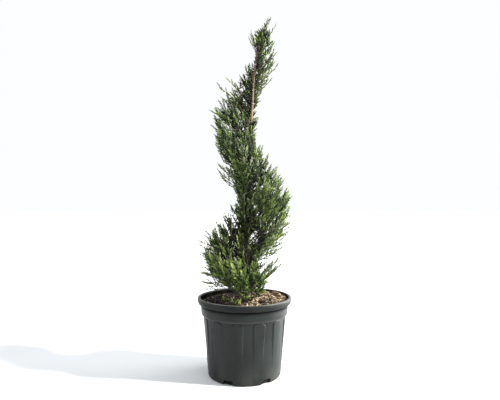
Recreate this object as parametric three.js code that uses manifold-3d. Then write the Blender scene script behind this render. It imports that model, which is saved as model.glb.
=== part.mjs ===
// A juniper clipped to a spiral, growing in a ten-litre nursery pot.
// Millimetres, +Z up. The origin is the centre of the pot's flat underside, and -Y is the plant's front.
import * as THREE from "three";
import { mergeVertices } from "three/addons/utils/BufferGeometryUtils.js";
import Module from "manifold-3d";

const wasm = await Module();
wasm.setup();

// ---------------------------------------------------------------- driving dimensions
const POT = { rimRadius: 140, baseRadius: 108, height: 230, facets: 44 };
const LIP = { height: 20.5, innerRadius: 131 };
const COLLAR = { foot: 178, footRadius: 127.5, topRadius: 130 };
const BODY = { topRadius: 124, wall: 5, floor: 3 };
const FLUTE = { count: 12, phase: -24.3, foot: 30, top: 174, depth: 2.2, halfTop: 6.5, halfFoot: 10 };
const NOTCH = { every: 2, half: 8.5, height: 13, innerRadius: 78 };
const CLEARANCE = 0.3; // between any two pieces that touch

const SOIL = { level: 216, flatRadius: 24, mound: 7, sink: 3, facets: 22 };
const PLANT = { tip: 1077, trunkTop: 1036 };
const TRUNK = { tipRadius: 1.4, taper: 6.6, flare: 4.5, cut: 6, sides: 8, steps: 18 };
const SPIRAL = { masses: 16, turns: 2.45, startAzimuth: 300, foot: 325, top: 1058, swell: 0.68, sway: 0.27 };
const CONE = { reach: 143, foot: 330, top: 1080, power: 3.2 };
const BAND = { footHalf: 104, topHalf: 34, bulge: 82, grooveRadius: 13, footLean: -0.25, topLean: 0.65 };
const CORE = { along: 0.47, across: 0.84, outer: 0.7, lump: 0.12, inner: 0.3, round: 0.5 };
const BOUGH = { least: 14, rise: 50, tipRadius: 1.5, taper: 1.6, sides: 5 };
const STEM = { level: -0.3, start: 0.8, middle: 0.45, tipRadius: 1.3 };
const SPRAY = { least: 28, most: 64, share: 0.47, slim: 0.17, broad: 0.28, thickness: 3.4, stalk: 1.6 };
const LEADER = { sprays: 5, length: 40, lean: 66, stem: 10 };
const UP = new THREE.Vector3(0, 0, 1);

// ---------------------------------------------------------------- finishes
const finish = (color, roughness) => new THREE.MeshStandardMaterial({ color, roughness, metalness: 0 });
const POT_PLASTIC = finish(0x3c4240, 0.5);
const COMPOST = finish(0x3a2c20, 0.95);
const BARK = finish(0x6b5239, 0.85);
const NEEDLES = finish(0x4c6b2f, 0.7);

// ---------------------------------------------------------------- small helpers
const radians = THREE.MathUtils.degToRad;
const { lerp, clamp } = THREE.MathUtils;
const { sin, cos, abs, max, min, hypot, PI } = Math;

// The same numbers for the same seed, between 0 and 1.
function seeded(seed) {
  let state = (seed * 2654435761 + 97) >>> 0;
  return () => {
    state = (Math.imul(state, 1664525) + 1013904223) >>> 0;
    return state / 4294967296;
  };
}

// A closed three.js geometry as a solid that can be joined and cut.
function solidOf(geometry) {
  const bare = geometry.clone().deleteAttribute("normal").deleteAttribute("uv");
  const merged = mergeVertices(bare, 1e-4);
  const corners = Array.from(merged.index.array);
  const kept = [];
  for (let i = 0; i < corners.length; i += 3) {
    const [a, b, c] = corners.slice(i, i + 3);
    if (a !== b && b !== c && c !== a) kept.push(a, b, c);
  }
  const vertProperties = merged.attributes.position.array;
  return new wasm.Manifold(new wasm.Mesh({ numProp: 3, vertProperties, triVerts: new Uint32Array(kept) }));
}

const joined = (solids) => solids.reduce((whole, next) => whole.add(next));

// Only the largest body: sealed hollows are filled and loose scraps dropped.
const largestBody = (solid) =>
  solid.decompose().reduce((best, next) => (next.volume() > best.volume() ? next : best));

// A solid as a named mesh whose own origin is the point "at".
function part(name, solid, material, at = new THREE.Vector3()) {
  const { numProp, vertProperties, triVerts } = solid.getMesh();
  const positions = new Float32Array((vertProperties.length / numProp) * 3);
  for (let i = 0; i < positions.length / 3; i++) {
    positions.set(vertProperties.subarray(i * numProp, i * numProp + 3), i * 3);
  }
  const geometry = new THREE.BufferGeometry()
    .setAttribute("position", new THREE.BufferAttribute(positions, 3))
    .setIndex(new THREE.BufferAttribute(triVerts, 1))
    .translate(-at.x, -at.y, -at.z);
  geometry.computeVertexNormals();
  const mesh = new THREE.Mesh(geometry, material);
  mesh.name = name;
  mesh.position.copy(at);
  return mesh;
}

// A profile of [radius, height] pairs turned about the upright axis.
function turned(profile, facets) {
  const points = profile.map(([r, z]) => new THREE.Vector2(r, z));
  return new THREE.LatheGeometry(points, facets).rotateX(PI / 2);
}

// A block between two radii and two heights, centred on an azimuth. Its foot and top have their own size.
function wedge(azimuth, foot, top) {
  const geometry = new THREE.BoxGeometry(1, 1, 1);
  const corner = new THREE.Vector3();
  const place = geometry.attributes.position;
  for (let i = 0; i < place.count; i++) {
    corner.fromBufferAttribute(place, i);
    const end = corner.z < 0 ? foot : top;
    const radius = corner.x < 0 ? end.inner : end.outer;
    const turn = radians(azimuth + Math.sign(corner.y) * end.half);
    place.setXYZ(i, radius * cos(turn), radius * sin(turn), end.z);
  }
  return geometry;
}

// A limb with closed ends along a path, its radius given along the way from 0 to 1.
function limb(path, radiusAt, sides, steps) {
  const geometry = new THREE.CylinderGeometry(1, 1, 1, sides, steps);
  const place = geometry.attributes.position;
  const ring = new THREE.Vector3();
  const side = new THREE.Vector3();
  for (let i = 0; i < place.count; i++) {
    ring.fromBufferAttribute(place, i);
    const along = clamp(ring.y + 0.5, 0, 1);
    const heading = path.getTangentAt(along);
    side.set(1, 0, 0).addScaledVector(heading, -heading.x);
    if (side.length() < 0.2) side.set(0, 1, 0).addScaledVector(heading, -heading.y);
    side.normalize();
    const across = new THREE.Vector3().crossVectors(heading, side);
    const radius = radiusAt(along);
    const centre = path.getPointAt(along);
    centre.addScaledVector(side, ring.z * radius).addScaledVector(across, ring.x * radius);
    place.setXYZ(i, centre.x, centre.y, centre.z);
  }
  return geometry;
}

// ---------------------------------------------------------------- pot and compost
const bodyRadius = (z) => lerp(POT.baseRadius, BODY.topRadius, z / COLLAR.foot);

// The wall of the pot's inside, from under the lip's edge down to the floor.
const innerProfile = (gap) => [
  [LIP.innerRadius - gap, POT.height - 4],
  [COLLAR.topRadius - BODY.wall - gap, POT.height - LIP.height - 6],
  [BODY.topRadius - BODY.wall - gap, COLLAR.foot - 8],
  [POT.baseRadius - BODY.wall - gap, BODY.floor + gap],
];

function potSolid() {
  const lipFoot = POT.height - LIP.height;
  const outline = [
    [0, 0],
    [POT.baseRadius - 4, 0],
    [POT.baseRadius - 0.5, 4],
    [bodyRadius(COLLAR.foot - 3), COLLAR.foot - 3],
    [COLLAR.footRadius, COLLAR.foot],
    [COLLAR.topRadius, lipFoot],
    [POT.rimRadius - 7, lipFoot],
    [POT.rimRadius - 2, lipFoot + 4],
    [POT.rimRadius, lipFoot + 10],
    [POT.rimRadius, POT.height - 3],
    [POT.rimRadius - 4, POT.height],
    [LIP.innerRadius + 1.5, POT.height - 1],
    ...innerProfile(0),
    [0, BODY.floor],
  ];
  let pot = solidOf(turned(outline, POT.facets));
  for (let i = 0; i < FLUTE.count; i++) {
    const azimuth = -90 + FLUTE.phase + (360 / FLUTE.count) * i;
    const deep = bodyRadius(FLUTE.top) - FLUTE.depth;
    const shallow = bodyRadius(FLUTE.foot) - 0.4;
    const flute = wedge(
      azimuth,
      { inner: shallow, outer: shallow + 20, half: FLUTE.halfFoot, z: FLUTE.foot },
      { inner: deep, outer: deep + 20, half: FLUTE.halfTop, z: FLUTE.top },
    );
    pot = pot.subtract(solidOf(flute));
    if (i % NOTCH.every) continue;
    const span = { inner: NOTCH.innerRadius, outer: POT.baseRadius + 10, half: NOTCH.half };
    pot = pot.subtract(solidOf(wedge(azimuth, { ...span, z: -1 }, { ...span, z: NOTCH.height })));
  }
  return pot;
}

// The compost's surface: flat round the trunk, heaped up to the right and sunk a little to the left.
function soilHeight(x, y) {
  const out = hypot(x, y);
  const rough = 1.6 * sin(x * 0.11 + y * 0.07) * cos(y * 0.13 - x * 0.05);
  const heap = x > 0 ? SOIL.mound : SOIL.sink;
  return SOIL.level + clamp((out - SOIL.flatRadius) / 60, 0, 1) * ((heap * x) / POT.rimRadius + rough);
}

function soilSolid() {
  const gap = CLEARANCE + 0.1;
  const [[lipRadius, lipHeight], [throatRadius, throatHeight]] = innerProfile(gap);
  const side = innerProfile(gap).slice(1).reverse();
  const rings = [lipRadius, 100, 64, SOIL.flatRadius].map((r) => [r, SOIL.level]);
  const profile = [[0, BODY.floor + gap], ...side, ...rings, [0, SOIL.level]];
  const geometry = turned(profile, SOIL.facets);
  const place = geometry.attributes.position;
  for (let i = 0; i < place.count; i++) {
    if (place.getZ(i) < SOIL.level) continue;
    const [x, y] = [place.getX(i), place.getY(i)];
    const height = soilHeight(x, y);
    const slope = (height - throatHeight) / (lipHeight - throatHeight);
    const wallRadius = lerp(throatRadius, lipRadius, slope);
    const shrink = min(1, wallRadius / max(hypot(x, y), 1));
    place.setXYZ(i, x * shrink, y * shrink, height);
  }
  return solidOf(geometry);
}

// ---------------------------------------------------------------- trunk
// How far up the plant a height is: 0 at the compost, 1 at the tip.
const rise = (z) => clamp((z - SOIL.level) / (PLANT.tip - SOIL.level), 0, 1);

// The trunk wanders a little and its top leans to the right.
function trunkAxis(z) {
  const t = rise(z);
  const x = 5 + 69 * t ** 4 + 5 * sin(4 * PI * t);
  return new THREE.Vector3(x, 4 * sin(2.5 * PI * t), z);
}

function trunkRadius(z) {
  const t = rise(z);
  return TRUNK.tipRadius + TRUNK.taper * (1 - t) ** 1.3 + TRUNK.flare * Math.exp(-28 * t);
}

class TrunkPath extends THREE.Curve {
  getPoint(t, target = new THREE.Vector3()) {
    return target.copy(trunkAxis(lerp(SOIL.level - TRUNK.cut, PLANT.trunkTop, t)));
  }
}

function trunkSolid(grown = 0) {
  const path = new TrunkPath();
  const radiusAt = (t) => trunkRadius(path.getPointAt(t).z) + grown;
  const whole = solidOf(limb(path, radiusAt, TRUNK.sides, TRUNK.steps));
  const ground = new THREE.BoxGeometry(80, 80, 40).translate(0, 0, SOIL.level + CLEARANCE - 20);
  return whole.subtract(solidOf(ground));
}

// ---------------------------------------------------------------- the spiral band
// A place in the band is (s, w, radius): s runs along the spiral from 0 at its foot to 1 at its top,
// w across its height from -1 to 1, and the radius is measured from the trunk's own axis.
const climb = (s) =>
  s - (SPIRAL.swell * sin(2 * PI * s)) / (2 * PI) + (SPIRAL.sway * sin(4 * PI * s)) / (4 * PI);
const bandHeight = (s) => lerp(SPIRAL.foot, SPIRAL.top, climb(s));
const bandAzimuth = (s) => SPIRAL.startAzimuth - 360 * SPIRAL.turns * s;
const bandHalf = (s) => lerp(BAND.footHalf, BAND.topHalf, s) + BAND.bulge * sin(PI * s);
const heightAt = (s, w) => bandHeight(s) + w * bandHalf(s);
const coneReach = (z) =>
  CONE.reach * (1 - clamp((z - CONE.foot) / (CONE.top - CONE.foot), 0, 1) ** CONE.power);

// The clipped outline: full near the band's middle, down to the groove at its two edges.
function bandReach(s, w) {
  const full = coneReach(heightAt(s, w));
  const groove = min(BAND.grooveRadius, full);
  const fromCrest = min(1, abs(w - lerp(BAND.footLean, BAND.topLean, s) * (1 - w * w)));
  return groove + (full - groove) * (1 - fromCrest ** 1.6) ** 0.88;
}

const outward = (azimuth) => new THREE.Vector3(cos(radians(azimuth)), sin(radians(azimuth)), 0);

const bandPoint = (s, w, radius) =>
  trunkAxis(heightAt(s, w)).addScaledVector(outward(bandAzimuth(s)), radius);

const coreInner = (s, w) => max(trunkRadius(heightAt(s, w)) + 3, CORE.inner * bandReach(s, w));
const sectorHalf = (180 * SPIRAL.turns) / SPIRAL.masses;

// Whether a point keeps to the mass's own space: its sector, clear of the trunk, the pot and the compost.
function keepsToSpace(point, azimuth) {
  const axis = trunkAxis(point.z);
  const [x, y] = [point.x - axis.x, point.y - axis.y];
  const out = hypot(x, y);
  const turn = THREE.MathUtils.radToDeg(Math.atan2(y, x)) - azimuth;
  const off = abs(THREE.MathUtils.euclideanModulo(turn + 180, 360) - 180);
  const margin = THREE.MathUtils.radToDeg(0.6 / max(out, 3));
  const floor = hypot(point.x, point.y) < 115 ? SOIL.level + 12 : POT.height + 6;
  const inHeight = point.z > floor && point.z < PLANT.trunkTop - 1;
  return off < sectorHalf - margin && out > trunkRadius(point.z) + 2 && inHeight;
}

// ---------------------------------------------------------------- sprays
// One spray of scale leaves: a toothed blade, thick along its middle, from a root along +Y.
function sprayBlade(length, spread) {
  const edge = [
    [SPRAY.stalk, 0],
    [spread * length, 0.58 * length],
    [0.08 * length, 0.66 * length],
    [0.6 * spread * length, 0.88 * length],
    [0.045 * length, 0.86 * length],
  ];
  const mirrored = edge.map(([x, y]) => [-x, y]).reverse();
  const outline = [...edge, [0, length], ...mirrored];
  const geometry = new THREE.SphereGeometry(1, outline.length, 2);
  const place = geometry.attributes.position;
  for (let i = 0; i < place.count; i++) {
    const face = Math.round(place.getY(i));
    const turn = Math.atan2(place.getZ(i), -place.getX(i)) / (2 * PI);
    const [x, y] = face ? [0, 0.5 * length] : outline.at(Math.round(turn * outline.length) % outline.length);
    place.setXYZ(i, x, y, (face * SPRAY.thickness) / 2);
  }
  return geometry;
}

// A blade laid from its root towards its tip, rolled about its own length.
function spray(root, tip, spread, roll) {
  const along = tip.clone().sub(root);
  const length = along.length();
  const turn = new THREE.Quaternion().setFromUnitVectors(new THREE.Vector3(0, 1, 0), along.normalize());
  turn.multiply(new THREE.Quaternion().setFromAxisAngle(new THREE.Vector3(0, 1, 0), roll));
  const matrix = new THREE.Matrix4().compose(root, turn, new THREE.Vector3(1, 1, 1));
  return sprayBlade(length, spread).applyMatrix4(matrix);
}

function twig(from, to, thick, thin) {
  return limb(new THREE.LineCurve3(from, to), (t) => lerp(thick, thin, t), 3, 1);
}

function cornersOf(geometry) {
  const place = geometry.attributes.position;
  return Array.from({ length: place.count }, (_, i) => new THREE.Vector3().fromBufferAttribute(place, i));
}

// ---------------------------------------------------------------- foliage masses round the spiral
// The denser inside of a mass: a lumpy block that follows the band and stays in its sector.
function massCore(k, random) {
  const ball = new THREE.SphereGeometry(1, 8, 6).rotateX(PI / 2);
  const geometry = mergeVertices(ball.deleteAttribute("normal").deleteAttribute("uv"), 1e-4);
  const place = geometry.attributes.position;
  const squared = (c) => Math.sign(c) * abs(c) ** CORE.round;
  for (let i = 0; i < place.count; i++) {
    const [along, out] = [squared(place.getX(i)), squared(place.getY(i))];
    const s = (k + 0.5 + CORE.along * along) / SPIRAL.masses;
    const w = CORE.across * squared(place.getZ(i));
    const inner = coreInner(s, w);
    const outer = max(inner + 3, CORE.outer * bandReach(s, w) * (1 + CORE.lump * (2 * random() - 1)));
    const at = bandPoint(s, w, lerp(inner, outer, (out + 1) / 2));
    at.z = max(at.z, POT.height + 8);
    place.setXYZ(i, at.x, at.y, at.z);
  }
  return geometry;
}

// A mass: where its bough meets it, the middle that its own stem runs to, and its sector.
function massFrame(k) {
  const s = (k + 0.5) / SPIRAL.masses;
  const reach = STEM.start * coreInner(s, STEM.level);
  const hasBough = reach > BOUGH.least;
  const joint = bandPoint(s, STEM.level, hasBough ? reach : 0);
  const middle = bandPoint(s, 0, STEM.middle * bandReach(s, 0));
  const heading = middle.clone().sub(joint).normalize();
  return { k, s, joint, middle, heading, hasBough, azimuth: bandAzimuth(s) };
}

// The sprays of a mass lean up and out and reach the clipped outline, placed by an even seeded rule.
function massSprays(frame, random, { dense, count, low, high, near, far }) {
  const made = [];
  for (let i = 0; i < count; i++) {
    const w = lerp(low, high, (i + random()) / count);
    const room = clamp(bandReach(frame.s, w) / 100, 0.2, 1);
    const aside = 0.36 * room * (2 * ((i * 0.618034 + 0.3) % 1) - 1);
    const s = (frame.k + 0.5 + aside) / SPIRAL.masses;
    const reach = bandReach(s, w) * lerp(near, far, random());
    const tip = bandPoint(s, w, reach);
    const length = clamp(SPRAY.share * reach, SPRAY.least, SPRAY.most);
    const lean = radians(lerp(18, 56, (w + 1) / 2) + 20 * (random() - 0.5));
    const foot = tip.z - length * sin(lean);
    const footOut = max(reach - length * cos(lean), trunkRadius(foot) + 4);
    const drift = 24 * room * (random() - 0.5);
    const root = trunkAxis(foot).addScaledVector(outward(bandAzimuth(s) + drift), footOut);
    const blade = spray(root, tip, lerp(SPRAY.slim, SPRAY.broad, dense ? room : 0), PI * random());
    if (cornersOf(blade).every((p) => keepsToSpace(p, frame.azimuth))) made.push({ blade, root, tip });
  }
  return made;
}

function foliageSolid(frame, clearTrunk, habit) {
  const random = seeded(frame.k + 2);
  const start = frame.joint.clone().addScaledVector(frame.heading, frame.hasBough ? CLEARANCE : 0);
  const pieces = [solidOf(twig(start, frame.middle, BOUGH.tipRadius, STEM.tipRadius))];
  if (habit.dense) pieces.push(solidOf(massCore(frame.k, random)));
  for (const { blade, root, tip } of massSprays(frame, random, habit)) {
    const sunk = root.clone().lerp(tip, 0.15);
    pieces.push(solidOf(twig(frame.middle, sunk, STEM.tipRadius, SPRAY.stalk * 0.7)), solidOf(blade));
  }
  return largestBody(joined(pieces).subtract(clearTrunk));
}

// A clipped mass has more sprays the larger it is, and the slender ones at the top have no core.
function clippedHabit(frame) {
  const reach = coneReach(bandHeight(frame.s));
  const size = clamp((reach * bandHalf(frame.s)) / 18000, 0, 1);
  const dense = reach > 62;
  const count = dense ? Math.round(lerp(9, 14, size)) : 6;
  return { dense, count, low: -0.95, high: 0.97, near: 0.95, far: 1.07 };
}

// The leader: one spray straight on from the trunk's tip, and others that fan upwards round it.
function leaderSolid(foot) {
  const random = seeded(1);
  const stemTop = trunkAxis(foot.z + LEADER.stem);
  const pieces = [twig(foot, stemTop, TRUNK.tipRadius, SPRAY.stalk * 0.7)];
  pieces.push(spray(foot, trunkAxis(PLANT.tip), SPRAY.slim, PI / 3));
  for (let i = 1; i < LEADER.sprays; i++) {
    const lean = radians(LEADER.lean + 16 * (random() - 0.5));
    const aim = outward(137.5 * i).multiplyScalar(cos(lean)).addScaledVector(UP, sin(lean));
    const root = foot.clone().lerp(stemTop, i / LEADER.sprays);
    const tip = root.clone().addScaledVector(aim, LEADER.length * lerp(0.6, 0.9, random()));
    pieces.push(spray(root, tip, SPRAY.slim, PI * random()));
  }
  return largestBody(joined(pieces.map(solidOf)));
}

// One tapering limb from the trunk up to its mass, cut clear of the trunk.
function boughSolid(frame, clearTrunk) {
  const reach = frame.joint.clone().sub(trunkAxis(frame.joint.z)).setZ(0).length();
  const rootHeight = max(frame.joint.z - reach * Math.tan(radians(BOUGH.rise)), SOIL.level + 12);
  const elbow = frame.joint.clone().addScaledVector(frame.heading, -0.4 * reach);
  const path = new THREE.QuadraticBezierCurve3(trunkAxis(rootHeight), elbow, frame.joint);
  const thick = min(BOUGH.tipRadius + BOUGH.taper, trunkRadius(rootHeight) * 0.8);
  const whole = solidOf(limb(path, (t) => lerp(thick, BOUGH.tipRadius, t), BOUGH.sides, 2));
  return largestBody(whole.subtract(clearTrunk));
}

// ---------------------------------------------------------------- the plant
const plant = new THREE.Group();
plant.name = "spiral_topiary";
plant.add(part("pot", potSolid(), POT_PLASTIC));
plant.add(part("compost", soilSolid(), COMPOST));
plant.add(part("trunk", trunkSolid(), BARK));

const clearTrunk = trunkSolid(CLEARANCE);
function addMass(label, frame, habit) {
  if (frame.hasBough) plant.add(part("bough_" + label, boughSolid(frame, clearTrunk), BARK, frame.joint));
  plant.add(part("foliage_" + label, foliageSolid(frame, clearTrunk, habit), NEEDLES, frame.joint));
}

// A few open sprays stand out low at the front right, where the spiral begins.
addMass("low", massFrame(-1), { dense: false, count: 8, low: -0.5, high: 0.3, near: 0.7, far: 0.92 });
for (let k = 0; k < SPIRAL.masses; k++) {
  const frame = massFrame(k);
  addMass(String(k + 1).padStart(2, "0"), frame, clippedHabit(frame));
}

const leaderFoot = trunkAxis(PLANT.trunkTop + CLEARANCE);
plant.add(part("foliage_tip", leaderSolid(leaderFoot), NEEDLES, leaderFoot));

export default plant;
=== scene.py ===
# %% [markdown]
# A juniper clipped to a spiral, in its nursery pot
#
# A grower makes this plant over six or seven years. One stem is led straight up, and every season
# the side shoots are clipped to a band that winds round it, while the strip between two turns of the
# band is cut back to the bark. What is left is a pot, some compost, one trunk, hundreds of limbs, and
# some thousands of small sprays of scale leaves. Each cell below makes one of these. The plain solids
# of the same plant come first, as a fixed frame, and every piece here takes its place from them.

# %% Libraries and the frame
import math

import bmesh
import bpy
import numpy as np
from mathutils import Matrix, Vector, noise


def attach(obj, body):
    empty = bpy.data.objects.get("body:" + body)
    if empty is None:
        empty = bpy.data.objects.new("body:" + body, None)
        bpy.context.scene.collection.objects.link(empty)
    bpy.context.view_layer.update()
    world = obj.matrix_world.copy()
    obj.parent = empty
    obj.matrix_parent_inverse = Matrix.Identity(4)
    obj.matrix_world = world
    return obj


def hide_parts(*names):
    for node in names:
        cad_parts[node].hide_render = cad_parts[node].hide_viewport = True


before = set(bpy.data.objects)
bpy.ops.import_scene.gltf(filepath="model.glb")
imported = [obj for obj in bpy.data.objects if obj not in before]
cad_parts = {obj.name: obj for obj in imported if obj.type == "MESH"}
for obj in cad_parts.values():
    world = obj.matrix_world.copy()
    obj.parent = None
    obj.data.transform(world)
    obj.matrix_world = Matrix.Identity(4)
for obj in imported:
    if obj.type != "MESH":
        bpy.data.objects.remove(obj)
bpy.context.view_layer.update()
MM = 0.001

# %% [markdown]
# Where it is looked at from
#
# The camera looks almost level at the middle of the plant, so upright lines stay upright, and it is
# so close that the pot's rim is seen a little from above. A wide lens so near makes the near side of
# the pot larger than its far side, as the eye sees it.

# %% Camera
EYE = (0.0166, -1.349, 0.501)
PITCH = math.radians(90.75)
LENS = 32.2


def add_object(name, data):
    """A new object for a mesh, a lamp or a camera, put in the scene."""
    made = bpy.data.objects.new(name, data)
    bpy.context.scene.collection.objects.link(made)
    return made


camera = add_object("camera", bpy.data.cameras.new("camera"))
camera.location = EYE
camera.rotation_euler = (PITCH, 0, 0)
camera.data.lens = LENS
bpy.context.scene.camera = camera
print("camera at", EYE, "lens", LENS)

# %% [markdown]
# Light
#
# The room is white all round, which fills every shadow. One warm lamp, low and far to the right and
# a little in front, does the modelling: its side of the plant is bright, and the pot throws a soft
# shadow to the left. A lamp so far away has parallel rays, which is what a sun lamp gives. A large
# soft panel stands at the right, a little behind the plant, and lays a pale streak down the pot.

# %% Room, key lamp and panel
ROOM_WHITE = (0.98, 0.99, 1.0, 1)
KEY_FROM = Vector((1.0, -0.2, 0.5))
KEY_COLOR, KEY_POWER = (1.0, 0.96, 0.9), 10.2
KEY_WIDTH = math.radians(5)
PANEL_AT, PANEL_AIM = Vector((1.8, 0.78, 0.5)), Vector((0, 0, 0.4))
PANEL_SIZE, PANEL_POWER = (1.3, 1.0), 70

bpy.context.scene.view_settings.view_transform = "Standard"
room = bpy.data.worlds.new("white room")
room.use_nodes = True
room.node_tree.nodes["Background"].inputs["Color"].default_value = ROOM_WHITE
room.node_tree.nodes["Background"].inputs["Strength"].default_value = 1.0
bpy.context.scene.world = room


def add_lamp(name, kind, power, back):
    """A lamp whose light runs against the vector back."""
    lamp = add_object(name, bpy.data.lights.new(name, kind))
    lamp.rotation_euler = back.to_track_quat("Z", "Y").to_euler()
    lamp.data.energy = power
    return lamp


key = add_lamp("key lamp", "SUN", KEY_POWER, KEY_FROM)
key.data.angle = KEY_WIDTH
key.data.color = KEY_COLOR
panel = add_lamp("soft panel", "AREA", PANEL_POWER, PANEL_AT - PANEL_AIM)
panel.location = PANEL_AT
panel.data.shape = "RECTANGLE"
panel.data.size, panel.data.size_y = PANEL_SIZE
print("key lamp shines from", tuple(round(c, 2) for c in KEY_FROM.normalized()))


# %% [markdown]
# Arithmetic on surfaces
#
# A finish is worked out at every point of a surface by small nodes that pass numbers along. Written
# out one by one they are hard to read, so `Value` wraps one number of that kind and lets it be added
# and multiplied as usual. `Finish` holds one material: its place on the piece, its shader, and one
# method that adds any other node.

# %% Value and Finish
class Value:
    """A number that changes over a surface, with the usual signs of arithmetic."""

    def __init__(self, finish, socket):
        self.finish, self.socket = finish, socket

    def _math(self, operation, first, second):
        return self.finish.value("ShaderNodeMath", {"operation": operation}, {0: first, 1: second})

    def __add__(self, other):
        return self._math("ADD", self, other)

    def __rsub__(self, other):
        return self._math("SUBTRACT", other, self)

    def __mul__(self, other):
        return self._math("MULTIPLY", self, other)

    def __pow__(self, other):
        return self._math("POWER", self, other)

    __radd__ = __add__


class Finish:
    """One material. Constants go straight on the shader's sockets, and what varies is fed to them."""

    def __init__(self, name, color, roughness, **constants):
        self.material = bpy.data.materials.new(name)
        self.material.use_nodes = True
        self.material.diffuse_color = (*color, 1)
        self.tree = self.material.node_tree
        self.shader = self.tree.nodes["Principled BSDF"]
        self.shader.inputs["Base Color"].default_value = (*color, 1)
        self.shader.inputs["Roughness"].default_value = roughness
        for socket, number in constants.items():
            self.shader.inputs[socket.replace("_", " ")].default_value = number

    def node(self, kind, settings=None, sockets=None):
        made = self.tree.nodes.new(kind)
        for name, setting in (settings or {}).items():
            setattr(made, name, setting)
        for key, given in (sockets or {}).items():
            if isinstance(given, (Value, bpy.types.NodeSocket)):
                self.tree.links.new(getattr(given, "socket", given), made.inputs[key])
            else:
                made.inputs[key].default_value = given
        return made

    def value(self, kind, settings=None, sockets=None, output=0):
        return Value(self, self.node(kind, settings, sockets).outputs[output])

    def place(self):
        """The point on the piece, in metres, with the part's own origin."""
        return self.node("ShaderNodeTexCoord").outputs["Object"]

    def axis(self, letter):
        return self.value("ShaderNodeSeparateXYZ", None, {0: self.place()}, "XYZ".index(letter))

    def noise(self, size, detail=3, stretch=(1, 1, 1), roughness=0.5):
        """Soft blotches about as large as size, in metres, drawn out along each axis by stretch."""
        factors = tuple(1 / (size * s) for s in stretch)
        scaled = self.node("ShaderNodeVectorMath", {"operation": "MULTIPLY"}, {0: self.place(), 1: factors})
        sockets = {"Vector": scaled.outputs[0], "Scale": 1, "Detail": detail, "Roughness": roughness}
        return self.value("ShaderNodeTexNoise", None, sockets)

    def between(self, value, low, high):
        """0 below low, 1 above high, and an even slope from one to the other."""
        sockets = {"Value": value, "From Min": low, "From Max": high}
        return self.value("ShaderNodeMapRange", {"interpolation_type": "SMOOTHSTEP"}, sockets)

    def mix(self, first, second, share):
        sides = [(*c, 1) if isinstance(c, tuple) else c for c in (first, second)]
        sockets = {0: share, 6: sides[0], 7: sides[1]}
        return self.node("ShaderNodeMix", {"data_type": "RGBA"}, sockets).outputs[2]

    def feed(self, socket, given):
        self.tree.links.new(getattr(given, "socket", given), self.shader.inputs[socket])

    def paint(self, first, second, share):
        """The finish's colour: first where share is 0, second where it is 1."""
        self.feed("Base Color", self.mix(first, second, share))

    def coat(self, color, share):
        """A dull film of one colour over the shader, as thick as share, from 0 to 1."""
        film = self.node("ShaderNodeBsdfDiffuse", None, {"Color": (*color, 1)})
        sockets = {0: share, 1: self.shader.outputs[0], 2: film.outputs[0]}
        both = self.node("ShaderNodeMixShader", None, sockets)
        self.tree.links.new(both.outputs[0], self.tree.nodes["Material Output"].inputs["Surface"])

    def relief(self, height, depth):
        """Bumps of up to depth, in metres, where height is 1."""
        bump = self.node("ShaderNodeBump", None, {"Strength": 1, "Distance": depth, "Height": height})
        self.feed("Normal", bump.outputs[0])


print("tools for finishes ready")

# %% [markdown]
# From vertices to a piece
#
# Every piece ends the same way: its mesh gets a finish and smooth faces with crisp edges where two
# faces meet at more than a given angle, it rides on the one rigid body, and the plain solids it
# stands for are hidden.


# %% Pieces
def mesh_from(form):
    mesh = bpy.data.meshes.new("shape")
    form.to_mesh(mesh)
    form.free()
    return mesh


def mesh_of_triangles(points, triangles):
    mesh = bpy.data.meshes.new("shape")
    mesh.vertices.add(len(points))
    mesh.vertices.foreach_set("co", np.asarray(points, np.float32).ravel())
    mesh.loops.add(3 * len(triangles))
    mesh.loops.foreach_set("vertex_index", np.asarray(triangles, np.int32).ravel())
    mesh.polygons.add(len(triangles))
    mesh.polygons.foreach_set("loop_start", np.arange(0, 3 * len(triangles), 3, dtype=np.int32))
    mesh.update(calc_edges=True)
    return mesh


def joined(parts):
    """Several (points, triangles) pairs as one."""
    starts = np.cumsum([0] + [len(points) for points, _ in parts[:-1]])
    return (
        np.concatenate([points for points, _ in parts]),
        np.concatenate([triangles + start for (_, triangles), start in zip(parts, starts)]),
    )


def piece(name, shape, finish, stands_for, crease):
    """A finished piece from a mesh, or from (points, triangles), in place of the plain solids."""
    mesh = shape if isinstance(shape, bpy.types.Mesh) else mesh_of_triangles(*shape)
    mesh.name = name
    mesh.shade_smooth()
    if crease:
        mesh.set_sharp_from_angle(angle=math.radians(crease))
    mesh.materials.append(finish.material)
    made = add_object(name, mesh)
    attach(made, "root")
    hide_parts(*stands_for)
    triangles = sum(len(face.vertices) - 2 for face in mesh.polygons)
    print(f"{name}: {triangles} triangles")


print("tools for pieces ready")

# %% [markdown]
# The floor
#
# A plain pale disc carries the pot and its shadow. It is so wide that its edge is lost in the white
# of the room.

# %% Floor
FLOOR_RADIUS = 40

floor_form = bmesh.new()
bmesh.ops.create_circle(floor_form, cap_ends=True, segments=96, radius=FLOOR_RADIUS)
floor_paint = Finish("floor paint", (0.765, 0.79, 0.812), 0.9, Specular_IOR_Level=0.1)
floor = add_object("floor", mesh_from(floor_form))
floor.data.materials.append(floor_paint.material)
print("floor laid, radius", FLOOR_RADIUS, "m")

# %% [markdown]
# The pot's shape
#
# A nursery pot is injection moulded: a hot plastic is pressed between a core and a cavity, and the
# pot has to slide off both. So it tapers, its wall is as thin as can be, and stiffness comes from
# its shape. The rolled lip is what a hand lifts by, the collar under it lets pots stack without
# jamming, and the shallow flutes stop the side from bulging. All of it but the flutes is a profile
# turned about an upright axis, which is what a spin is for.

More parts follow.
